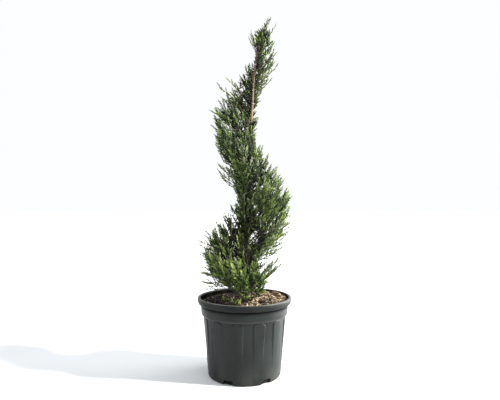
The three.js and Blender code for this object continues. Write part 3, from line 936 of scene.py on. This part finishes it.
class Limbs:
    """Curves from start over control to end, each with the leafy part of its length and its spray size.

    Its sprays may grow past the clipped outline by past, in metres.
    """

    def __init__(self, start, control, end, leafy=None, spray=None, s=None, vigour=None, past=0.0):
        self.start, self.control, self.end = start, control, end
        self.leafy, self.spray, self.s, self.vigour = leafy, spray, s, vigour
        self.past = past
        self.length = np.linalg.norm(end - start, axis=1)

    def at(self, rows, t):
        a, b, c = self.start[rows], self.control[rows], self.end[rows]
        t = t[:, None]
        point = (1 - t) ** 2 * a + 2 * t * (1 - t) * b + t * t * c
        return point, unit(2 * (1 - t) * (b - a) + 2 * t * (c - b))

    def wood(self, thick, thin, steps=5, sides=4):
        paths = bent(self.start, self.control, self.end, steps)
        taper = np.linspace(0, 1, steps)[None] ** 0.7
        return stems(paths, thick[:, None] * (1 - taper) + thin * taper, sides)


# Clean stretches of stem: from, to, and how far past the bark on either side.
CLEAN_STEM = ((750 * MM, 985 * MM, 2.2 * MM), (330 * MM, 392 * MM, -1.5 * MM))
BESIDE_LEADER = {"z": (925 * MM, 986 * MM), "front": 20 * MM, "aside": 7 * MM}
WINDOW = {"x": (17 * MM, 42 * MM), "z": (386 * MM, 414 * MM)}


def within(values, low, high):
    return (values > low) & (values < high)


def hides_stem(points):
    """Whether points are in front of a clean stretch of stem, or where a bough was cut out beside it."""
    x, y, z = points.T
    axis = trunk_axis(z)
    beside_leader = within(z, *BESIDE_LEADER["z"]) & (y < BESIDE_LEADER["front"])
    hidden = beside_leader & (x < axis[:, 0] - BESIDE_LEADER["aside"])
    hidden |= within(x, *WINDOW["x"]) & within(z, *WINDOW["z"])
    for low, high, half in CLEAN_STEM:
        beside = np.abs(x - axis[:, 0]) < half + trunk_radius(z)
        hidden |= beside & (y < axis[:, 1]) & within(z, low, high)
    return hidden


def grown(root, aim, up_side, length, vigour, s, past=0.0):
    """The sprays that keep to the outline, clear of the stem, the compost and the pot."""
    probe, tip = root + aim * (0.62 * length)[:, None], root + aim * length[:, None]
    out, edge = outline_beside(probe, s)
    tip_out = np.hypot(tip[:, 0], tip[:, 1])
    low = np.where(tip_out < INSIDE_RIM, SOIL["level"] + TIP_CLEAR, POT["height"] + RIM_CLEAR)
    kept = (out < edge + PAST_OUTLINE + past) & (tip_out < WIDEST)
    kept &= within(tip[:, 2], low, TIP) & (root[:, 2] > SOIL["level"] + ROOT_CLEAR)
    for along in (0.3, 0.65, 0.95):
        kept &= ~hides_stem(root + aim * (along * length)[:, None])
    made = {"root": root, "aim": aim, "up": up_side, "length": length, "vigour": vigour, "out": out / edge}
    return {name: array[kept] for name, array in made.items()}


def leaf_out(limbs, seed, gap):
    """Sprays for every limb: where, which way, which side up, how long, and how vigorous."""
    rng = np.random.default_rng(seed)
    counts = np.maximum(2, np.round(limbs.leafy / gap)).astype(int)
    rows = np.repeat(np.arange(len(counts)), counts)
    nth = np.concatenate([np.arange(n) for n in counts])
    back = limbs.leafy[rows] * ((nth + rng.uniform(0, 0.6, len(rows))) / counts[rows])
    t = np.clip(1 - back / limbs.length[rows], 0.04, 1)
    leads = nth == 0
    t[leads] = 1
    root, heading = limbs.at(rows, t)
    roll = GOLDEN * nth + rng.uniform(0, math.tau, len(counts))[rows]
    side = unit(np.cross(heading, np.array([[0.31, 0.2, 1.0]])))
    over = np.cross(side, heading)
    around = side * np.cos(roll)[:, None] + over * np.sin(roll)[:, None]
    open_by = np.radians(rng.uniform(16, 40, len(rows))) * np.where(leads, LEAD_OPENING, 1)
    aim = unit(heading * np.cos(open_by)[:, None] + around * np.sin(open_by)[:, None])
    aim = unit(aim + UP * np.where(leads, TURN_UP_LEAD, TURN_UP_SIDE)[:, None])
    share = back / np.maximum(limbs.leafy[rows], 1e-6)
    length = limbs.spray[rows] * rng.uniform(0.72, 1.1, len(rows)) * (1.08 - 0.3 * share)
    length = np.where(leads, limbs.spray[rows] * rng.uniform(0.95, 1.25, len(rows)), length)
    up_side = unit(around + 0.6 * UP + 0.5 * rng.normal(0, 1, (len(rows), 3)))
    vigour = 0.45 * limbs.vigour[rows] + 0.55 * rng.random(len(rows))
    return grown(root, aim, up_side, length, vigour, limbs.s[rows], limbs.past)


# %% [markdown]
# Boughs
#
# Each length of the band is one mass, and a few boughs carry it. They leave the trunk well below the
# leaves they feed, rise at about forty degrees, and fan out over the width of the band.

# %% Boughs: the main limbs of every mass
BOUGHS = 6
STOUT = 30 * MM
LEAN_LOW, LEAN_HIGH = 22, 72


def lean_at(w):
    return np.radians(LEAN_LOW + (LEAN_HIGH - LEAN_LOW) * (w + 1) / 2)


def from_trunk(end, slope):
    """Where on the trunk a limb to this end begins, when it rises by slope times its reach."""
    inward = np.hypot(*(end - trunk_axis(end[:, 2]))[:, :2].T)
    return trunk_axis(np.maximum(end[:, 2] - inward * slope - 3 * MM, SOIL["level"] + 9 * MM))


def clear_of_trunk(points, turn):
    """Points too near the trunk's line are moved out to its bark."""
    axis, bark_at = trunk_axis(points[:, 2]), trunk_radius(points[:, 2]) + 2 * MM
    tight = np.hypot(*(points - axis)[:, :2].T) < bark_at
    return np.where(tight[:, None], axis + outward(turn) * bark_at[:, None], points)


rng = np.random.default_rng(4)
nth = np.arange(MASSES * BOUGHS)
bough_s = (nth // BOUGHS + (nth * 0.618034 + 0.3) % 1) / MASSES
bough_w = -0.8 + 1.6 * (nth % BOUGHS + rng.uniform(0.2, 0.8, len(nth))) / BOUGHS
bough_reach = band_reach(bough_s, bough_w)
stout = bough_reach > STOUT
bough_s, bough_w, bough_reach = bough_s[stout], bough_w[stout], bough_reach[stout]
bough_end = band_point(bough_s, bough_w, 0.62 * bough_reach)
bough_start = from_trunk(bough_end, rng.uniform(0.7, 1.1, len(bough_s)))
lean = lean_at(bough_w)
bough_heading = leaning(band_turn(bough_s), lean)
bough_bend = 0.45 * np.linalg.norm(bough_end - bough_start, axis=1)[:, None]
boughs = Limbs(bough_start, bough_end - bough_heading * bough_bend, bough_end)
bough_nodes = bent(boughs.start, boughs.control, boughs.end, 10)
print(len(bough_s), "boughs")

# %% [markdown]
# Clipped masses
#
# The plumes of a mass end evenly over its outline: their number follows the outline's area, and a
# low-discrepancy rule spreads them without rows or clumps. Towards the band's lower edge they lie
# flatter and towards its upper edge they stand steeper. Each branches off the bough, or the piece of
# trunk, that is nearest below it. Two shorter sets fill the inside with plainer sprays, which are
# dealt darker greens as painted shade.

# %% Masses: limbs out to the clipped outline
UNDERNEATH, NOT_ITS_OWN = 1.0, 2.0


def band_places(seed, closeness):
    """Even places (s, w) over the outline of every mass."""
    rng = np.random.default_rng(seed)
    all_s, all_w = [], []
    grid = np.linspace(-0.99, 0.99, 90)
    for k in range(MASSES):
        middle = (k + 0.5) / MASSES
        reach = band_reach(middle, grid)
        gap = closeness * np.clip(13 * MM + 0.12 * reach.mean(), 14 * MM, 25 * MM)
        area = np.cumsum(SECTOR * reach * 2 * band_half(middle) / len(grid))
        count = max(6, round(area[-1] / gap**2))
        nth = np.arange(count)
        all_w.append(np.interp((nth + rng.random(count)) / count * area[-1], area, grid))
        all_s.append((k + (nth * 0.618034 + 0.3 + rng.uniform(-0.1, 0.1, count)) % 1) / MASSES)
    return np.concatenate(all_s), np.concatenate(all_w)


def nearest_below(end):
    """For each end, the best place to branch off: a bough's node, or the trunk below.

    A place costs its distance, and more where it is too high to rise from. Places right under the
    end, and the stretches of trunk that belong to other ends, are priced out of reach.
    """
    on_trunk = from_trunk(end, 0.8)
    places = np.concatenate([bough_nodes[:, 2:].reshape(-1, 3), on_trunk])
    flat = np.hypot(*(end[:, None, :2] - places[None, :, :2]).transpose(2, 0, 1))
    above = places[None, :, 2] - (end[:, None, 2] - 0.35 * flat)
    cost = np.linalg.norm(end[:, None] - places[None], axis=2) + 2.5 * np.maximum(above, 0)
    cost = np.where(flat < 6 * MM, UNDERNEATH, cost)
    first_own = len(places) - len(end)
    own = first_own + np.arange(len(end))
    cost[:, first_own:] = NOT_ITS_OWN
    cost[np.arange(len(end)), own] = np.linalg.norm(end - on_trunk, axis=1) * 1.15
    return places[cost.argmin(axis=1)]


def band_limbs(seed, closeness, near, far):
    rng = np.random.default_rng(seed + 100)
    s, w = band_places(seed, closeness)
    reach = band_reach(s, w) * rng.uniform(near, far, len(s))
    tip = band_point(s, w, reach)
    keep = tip[:, 2] < TRUNK_TOP + 4 * MM
    s, w, reach, tip = s[keep], w[keep], reach[keep], tip[keep]
    lean = lean_at(w) + np.radians(rng.normal(0, 8, len(s)))
    turn = band_turn(s) + np.radians(rng.normal(0, 12, len(s)))
    heading = leaning(turn, lean)
    spray = np.clip(0.22 * reach + 12 * MM, 16 * MM, 40 * MM)
    end = clear_of_trunk(tip - heading * spray[:, None], turn)
    start = nearest_below(end)
    reach_out = np.linalg.norm(end - start, axis=1)
    control = end - heading * (0.5 * reach_out)[:, None]
    leafy = np.clip(0.85 * reach_out, 8 * MM, 58 * MM)
    vigour = np.array([noise.noise(Vector(p) / (38 * MM)) for p in end]) * 0.9 + 0.5
    return Limbs(start, control, end, leafy, spray, s, np.clip(vigour, 0, 1))


outer_limbs = band_limbs(11, closeness=1.0, near=0.94, far=1.05)
inner_limbs = band_limbs(12, closeness=1.08, near=0.5, far=0.84)
core_limbs = band_limbs(13, closeness=1.3, near=0.2, far=0.5)
outer = leaf_out(outer_limbs, 21, gap=6.8 * MM)
inner = leaf_out(inner_limbs, 22, gap=7 * MM)
core = leaf_out(core_limbs, 23, gap=7.5 * MM)
print(len(outer_limbs.length), "outer limbs with", len(outer["length"]), "sprays")
print(len(inner_limbs.length), "inner limbs with", len(inner["length"]), "sprays")
print(len(core_limbs.length), "limbs near the trunk with", len(core["length"]), "sprays")

# %% [markdown]
# Short shoots on the trunk
#
# Between two turns of the band the shears leave only stubs and short shoots, close along the trunk.
# A spiral of golden angles up the stem places them. The front of the upper stem is kept clean, so
# that it shows. The same rule, with longer and steeper shoots, makes the leader at the very top.


# %% Shoots along the trunk, and the leader
def shoots(seed, heights, long, short, slope, bare=False):
    """Single sprays along the trunk between two heights, long at the foot and short at the top."""
    rng = np.random.default_rng(seed)
    count = len(heights)
    turn = GOLDEN * np.arange(count) + rng.normal(0, 0.2, count)
    up_by = np.tan(np.radians(slope + rng.normal(0, 7, count)))
    aim = unit(outward(turn) + UP * up_by[:, None])
    root = trunk_axis(heights) + outward(turn) * (0.6 * trunk_radius(heights))[:, None]
    length = np.linspace(long, short, count) * rng.uniform(0.75, 1.15, count)
    facing = np.cos(turn - math.radians(285))
    shows = bare & (facing > 0.3) & (heights > 750 * MM) & (heights < 915 * MM)
    up_side = unit(outward(turn + 1.5) + 0.5 * rng.normal(0, 1, (count, 3)))
    rows = np.flatnonzero(~shows)
    vigour = rng.random(count)
    level = np.full(count, 0.5)
    return grown(root[rows], aim[rows], up_side[rows], length[rows], vigour[rows], level[rows], FREE)


groove = shoots(51, np.linspace(236, 1020, 760) * MM, long=38 * MM, short=22 * MM, slope=42, bare=True)
leader = shoots(52, np.linspace(930, 1052, 66) * MM, long=27 * MM, short=11 * MM, slope=62)
print("shoots in the groove:", len(groove["length"]), "and on the leader:", len(leader["length"]))

# %% [markdown]
# What the shears left
#
# Some growth stands outside the band. Where the spiral begins, a skirt of short limbs hides the
# trunk's foot, and open wisps rise beside it or hang out low over the rim. Strays in the shade between
# two turns, like many wisps at the edges, are painted a pale grey green, a painted light from the white
# room. And here and there a single whip was missed and has grown on, thin and straight. Each is a limb
# of its own, from a height on the trunk to a tip.


# %% Wisps and whips
def limbs_to(rows, spray, leafy, vigour, rise_by=-0.12):
    """Limbs from rows of a start height on the trunk and a tip (x, y, z), in millimetres."""
    table = np.array(rows, float) * MM
    start, end = trunk_axis(table[:, 0]), table[:, 1:4]
    length = np.linalg.norm(end - start, axis=1)
    control = (start + end) / 2 + UP * (rise_by * length)[:, None]
    spray, s, vigour = (np.full(len(table), number) for number in (spray, 0.0, vigour))
    return Limbs(start, control, end, length * leafy, spray, s, vigour, FREE)


RIGHT_WISPS = [
    (268, 90, -40, 336), (264, 86, -30, 328), (260, 94, -44, 318), (256, 84, -50, 312), (252, 78, -36, 300),
    (250, 84, -20, 308), (252, 66, 6, 312), (256, 76, 20, 320), (262, 70, -48, 322), (248, 62, -10, 296),
]
LEFT_WISPS = [
    (262, -106, -22, 274), (254, -96, 10, 264), (258, -84, -52, 268), (270, -108, 18, 292),
    (274, -102, -44, 300), (256, -80, 50, 272), (250, -92, -30, 256), (252, -64, 26, 266),
    (258, -88, 30, 280), (300, -110, -20, 352), (318, -112, -6, 372), (330, -110, -34, 388),
    (342, -106, 10, 402), (296, -108, 14, 340), (286, -110, -34, 326), (350, -102, -20, 416),
    (290, -104, 4, 312), (282, -98, -56, 306),
]
FRONT_WISPS = [
    (238, 10, -62, 268), (240, 24, -44, 276), (246, -4, -66, 290), (230, 10, -34, 258),
    (250, -20, -60, 290), (262, 16, -66, 312), (270, 34, -60, 330), (256, -36, -52, 286),
    (280, 0, -70, 330), (244, 36, -54, 268), (262, -10, -64, 304),
]
PALE_WISPS = [
    (330, 78, -44, 358), (345, 92, -18, 366), (372, 98, -52, 398), (390, 112, -26, 414),
    (352, 70, 26, 372), (405, 118, -8, 436), (420, 112, -56, 450), (340, 84, -30, 372),
    (362, 96, -36, 384), (384, 106, -44, 410), (398, 116, -16, 428), (416, 122, -30, 448),
]
WHIPS = [
    (862, 92, -14, 914), (978, 90, -16, 1036), (1010, 75, 2, 1059), (1006, 68, -6, 1048), (838, 74, 4, 876),
    (430, 128, -30, 466), (446, 124, -8, 446),
]
STRAYS = [
    (800, -64, -24, 846), (826, -40, -20, 868), (762, -84, -14, 776), (862, 2, -16, 912),
    (868, 18, -20, 922),
]
TOP_LEFT = [
    (962, 20, -10, 1008), (966, 26, 4, 1014), (958, 25, -20, 1004), (970, 33, -12, 1016),
    (962, 17, 0, 1001), (968, 22, -16, 1012),
]
PALE_STRAYS = [
    (556, -64, -12, 592), (546, -58, 8, 580), (568, -62, -26, 606), (538, -54, -30, 572),
    (574, -66, 4, 612),
]
SKIRT = []
for nth in range(26):
    turn, up = 2.0 + GOLDEN * nth, (nth * 0.618) % 1
    reach = 52 + 34 * ((nth * 0.755) % 1) + 16 * up
    SKIRT.append((240 + 34 * up, reach * math.cos(turn), reach * math.sin(turn), 266 + 60 * up))
# Each set's gap between sprays in millimetres, its share of pale grey green, and its lift up the ladder of
# greens: the grey and the lift are painted light.
LOOSE = {
    "skirt": (limbs_to(SKIRT, 28 * MM, 0.66, 0.55, -0.05), {"gap": 8, "grey": 0.05, "lift": 0.05}),
    "right": (limbs_to(RIGHT_WISPS, 24 * MM, 0.62, 0.74), {"gap": 8.5, "grey": 0.5, "lift": 0.12}),
    "left": (limbs_to(LEFT_WISPS, 28 * MM, 0.7, 0.6, 0.04), {"gap": 7.5, "grey": 0.3, "lift": 0}),
    "front": (limbs_to(FRONT_WISPS, 24 * MM, 0.6, 0.85), {"gap": 7, "grey": 0, "lift": 0.16}),
    "pale": (limbs_to(PALE_WISPS, 27 * MM, 0.6, 0.8), {"gap": 6, "grey": 0.6, "lift": 0}),
    "whips": (limbs_to(WHIPS, 15 * MM, 0.5, 0.3), {"gap": 9, "grey": 0.3, "lift": 0}),
    "strays": (limbs_to(STRAYS, 24 * MM, 0.5, 0.6), {"gap": 7, "grey": 0.1, "lift": 0}),
    "top left": (limbs_to(TOP_LEFT, 13 * MM, 0.6, 0.7), {"gap": 5, "grey": 0.05, "lift": 0.1}),
    "pale strays": (limbs_to(PALE_STRAYS, 25 * MM, 0.4, 0.7), {"gap": 7, "grey": 0.6, "lift": 0}),
}
loose_sprays = {
    name: leaf_out(limbs, 60 + i, ways["gap"] * MM) for i, (name, (limbs, ways)) in enumerate(LOOSE.items())
}
stem_ends = [trunk_axis(np.array([z])) for z in (TRUNK_TOP - 2 * MM, 1048 * MM, 1064 * MM)]
stem_top = Limbs(*stem_ends, *(np.array([number]) for number in (20 * MM, 12.5 * MM, 1.0, 0.7)), FREE)
top = leaf_out(stem_top, 27, 3 * MM)
print({name: len(sprays["length"]) for name, sprays in loose_sprays.items()}, "top", len(top["length"]))

# %% [markdown]
# Young tufts
#
# Very young juniper growth has needles in place of scales, and they stand off the shoot like a
# little star. Such tufts come up through the compost on the left, and one shows at the trunk's foot.
# They lie in the plant's shade, and their bright greens are partly their young colour and partly
# painted sunlight.

# %% Tufts on the compost
CLUMPS = [
    (-61, -40, 223, 3), (-54, -52, 224, 3), (-37, -60, 223, 3), (-29, -70, 223, 3), (-15, -84, 222, 2),
    (-8, -24, 224, 3), (3, -30, 226, 2), (-5, -46, 240, 4), (2, -50, 250, 3),
]
rng = np.random.default_rng(71)
tuft_rows = np.array([(x, y, z) for x, y, z, many in CLUMPS for _ in range(many)], float)
count = len(tuft_rows)
tuft_root = (tuft_rows + rng.uniform(-4, 4, (count, 3)) * [1, 1, 0.2]) * MM
tuft_aim = unit(outward(rng.uniform(0, math.tau, count)) * rng.uniform(0.3, 1.5, (count, 1)) + UP)
tuft_up = outward(rng.uniform(0, math.tau, count))
tufts = {"root": tuft_root, "aim": tuft_aim, "up": tuft_up, "length": rng.uniform(13, 19, count) * MM}
print(count, "tufts")

# %% [markdown]
# Limb wood
#
# The limbs have younger bark than the trunk: dark, thin and a little shiny. A limb is about as thick
# as what it carries needs. Where side branches were cut off the trunk, short stubs are left, and
# their cut faces have dried to a pale, cracked disc.

# %% Limbs and pruned stubs
limb_bark = Finish("limb bark", (0.05, 0.035, 0.025), 0.75, Specular_IOR_Level=0.3)
streaks = limb_bark.noise(5 * MM, 4, (1, 1, 2), 0.65)
limb_bark.paint((0.015, 0.011, 0.008), (0.07, 0.05, 0.034), limb_bark.between(streaks, 0.34, 0.68))
limb_bark.relief(streaks, 0.5 * MM)
bough_thick = np.minimum(1.3 * MM + 0.016 * boughs.length, 0.6 * trunk_radius(bough_start[:, 2]))
bearing = [outer_limbs, inner_limbs, core_limbs, stem_top] + [limbs for limbs, _ in LOOSE.values()]
wood = [boughs.wood(bough_thick, 1.0 * MM, 9, 6)]
wood += [limbs.wood(np.full(len(limbs.length), 1.05 * MM), 0.7 * MM) for limbs in bearing]

# Each stub: its height, its turn in degrees, its radius, and how far it stands out of the bark.
STUBS = [
    (924, 262, 2.4, 3.4), (899, 205, 2.6, 3.6), (872, 330, 1.8, 2.0), (846, 250, 1.7, 1.6),
    (806, 300, 2.0, 2.0), (772, 215, 1.9, 1.8), (742, 290, 2.0, 2.2), (560, 250, 2.3, 2.6),
    (524, 300, 2.2, 2.4), (486, 240, 2.5, 2.8), (452, 285, 2.4, 2.6), (418, 320, 2.6, 3.0),
    (268, 300, 3.0, 3.0), (246, 200, 3.2, 3.2),
]
STUB_SIDES = 9
stub_table = np.array(STUBS, float)
stub_axis = trunk_axis(stub_table[:, 0] * MM)
stub_aim = unit(outward(np.radians(stub_table[:, 1])) + 0.7 * UP)
stub_out = trunk_radius(stub_axis[:, 2]) + stub_table[:, 3] * MM


def along_stubs(reaches, widths):
    """Closed tubes along every stub, at these distances out and these shares of its radius."""
    path = stub_axis[:, None] + stub_aim[:, None] * reaches[..., None]
    return stems(path, stub_table[:, 2, None] * MM * np.array(widths), STUB_SIDES)


wood.append(along_stubs(stub_out[:, None] * np.linspace(0.2, 1, 4), [1.25, 1.1, 1.0, 0.96]))
limb_nodes = sorted(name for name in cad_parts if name.startswith("bough_"))
piece("limbs", joined(wood), limb_bark, limb_nodes, 50)

cut_wood = Finish("dry cut wood", (0.5, 0.4, 0.3), 0.8, Specular_IOR_Level=0.3)
cracks = cut_wood.noise(1.2 * MM, 4, roughness=0.7)
cut_wood.paint((0.2, 0.14, 0.1), (0.62, 0.5, 0.39), cut_wood.between(cracks, 0.34, 0.6))
cut_wood.relief(cracks, 0.3 * MM)
cut_faces = along_stubs(stub_out[:, None] + np.array([-0.2, 0.25, 0.45]) * MM, [0.93, 0.86, 0.5])
piece("pruning_cuts", cut_faces, cut_wood, ["trunk"], 40)

# %% [markdown]
# Greens
#
# Light and shade on the sprays are painted into their greens: a spray in shade is painted a dark blue
# green, one in the sun a yellower green, and a few are painted a pale grey green for the white room's
# light on them. Painting that with a pattern would break a spray in two, so each spray is dealt one
# plain green as a whole. Seven greens make a ladder of painted light from night to sun, and a spray
# stands higher on it the further out and the lower it is and the better its limb grows. Its young
# tips take the paler green of the same pair, partly as new growth and partly as painted light.

# %% Foliage: dealing the sprays into greens
# Each green is a pair, old growth and then young tips: the young tips' paler green is partly new growth,
# partly painted light.
GREENS = {
    "night": ((0.007, 0.011, 0.0047), (0.014, 0.022, 0.0078)),
    "shade": ((0.0125, 0.0195, 0.009), (0.03, 0.048, 0.018)),
    "deep": ((0.02, 0.031, 0.0135), (0.057, 0.087, 0.0295)),
    "mid": ((0.032, 0.049, 0.0185), (0.094, 0.139, 0.044)),
    "clear": ((0.048, 0.07, 0.023), (0.145, 0.208, 0.058)),
    "fresh": ((0.066, 0.095, 0.028), (0.2, 0.28, 0.07)),
    "sun": ((0.095, 0.13, 0.04), (0.29, 0.375, 0.1)),
    # Painted light: a pale grey green for the white room's light on sprays at the edges and in shade.
    "grey": ((0.11, 0.135, 0.085), (0.26, 0.29, 0.2)),
    "spring": ((0.3, 0.38, 0.12), (0.5, 0.6, 0.22)),
}
LADDER = ["night", "shade", "deep", "mid", "clear", "fresh", "sun"]
FOOT_LIGHT = (240 * MM, 220 * MM)
foliage_nodes = sorted(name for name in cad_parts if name.startswith("foliage_"))
dealt = {(green, part): [] for green in GREENS for part in ("old", "young")}


def rungs(sprays, rng, lift, grey):
    """Which green every spray takes: a rung of the ladder of painted light and shade, or the pale green of
    painted sky light.
    """
    count = len(sprays["length"])
    # Painted light: sprays further out, lower down and on better limbs are dealt brighter greens.
    low = np.clip(1 - (sprays["root"][:, 2] - FOOT_LIGHT[0]) / FOOT_LIGHT[1], 0, 1)
    painted_light = 0.15 + 0.46 * np.clip(sprays["out"], 0, 1.05) + 0.75 * (sprays["vigour"] - 0.5)
    painted_light = painted_light + 0.14 * low + lift + rng.normal(0, 0.09, count)
    rung = np.clip(painted_light * len(LADDER), 0, len(LADDER) - 0.01).astype(int)
    return np.where(rng.random(count) < grey, len(LADDER), rung)


def set_on_plant(sprays, rows, frames, pattern, size):
    """One pattern, copied to the place, direction and length of every spray in rows."""
    points, triangles = pattern
    stretch = sprays["length"][rows] / size
    placed = np.einsum("nij,vj->nvi", frames[rows], points) * stretch[:, None, None]
    placed = placed + sprays["root"][rows][:, None]
    starts = np.arange(len(rows))[:, None, None] * len(points)
    return placed.reshape(-1, 3), (triangles[None] + starts).reshape(-1, 3)


def deal(sprays, seed, habit, lift=0.0, grey=0.07, greens=None):
    """Sets every spray on the plant and deals it into its green."""
    rng = np.random.default_rng(seed)
    count = len(sprays["length"])
    if greens:
        rung = rng.integers(0, len(greens), count)
    else:
        rung, greens = rungs(sprays, rng, lift, grey), [*LADDER, "grey"]
    limits = [0.5 * (SIZES["short"] + SIZES["middle"]), 0.5 * (SIZES["middle"] + SIZES["long"])]
    size = np.digitize(sprays["length"], limits)
    shape = rng.integers(0, SHAPES, count)
    across = unit(np.cross(sprays["aim"], sprays["up"]))
    upward = np.cross(across, sprays["aim"])
    frames = np.stack([across, sprays["aim"], upward], axis=-1)
    for which, name in enumerate(SIZES):
        for form in range(SHAPES):
            for step, green in enumerate(greens):
                rows = np.flatnonzero((size == which) & (shape == form) & (rung == step))
                if not len(rows):
                    continue
                for part, pattern in zip(("old", "young"), PATTERNS[name, habit][form]):
                    placed = set_on_plant(sprays, rows, frames, pattern, SIZES[name])
                    dealt[green, part].append(placed)


deal(outer, 31, "full")
# Inner, near-trunk and groove sprays are dealt lower on the ladder, as painted shade; the leader and the
# top higher, as painted light.
deal(inner, 32, "plain", lift=-0.12, grey=0.01)
deal(core, 36, "plain", lift=-0.16, grey=0.0)
deal(groove, 33, "plain", lift=-0.2, grey=0.01)
deal(leader, 34, "full", lift=0.08)
deal(top, 35, "full", lift=0.08)
# The tufts are dealt bright greens though they lie in shade: partly their young colour, partly painted
# sunlight.
deal(tufts, 37, "tuft", greens=["sun", "spring", "spring"])
for i, (name, (_, ways)) in enumerate(LOOSE.items()):
    deal(loose_sprays[name], 40 + i, "plain" if name == "whips" else "full", ways["lift"], ways["grey"])
total = 0
for (green, part), parts in dealt.items():
    if not parts:
        continue
    color = GREENS[green][("old", "young").index(part)]
    leaves = Finish(f"{green} green, {part}", color, 0.65, Specular_IOR_Level=0.12)
    sprays = joined(parts)
    total += len(sprays[1])
    piece(f"foliage_{green}_{part}", sprays, leaves, foliage_nodes, 0)
print("foliage:", total, "triangles")
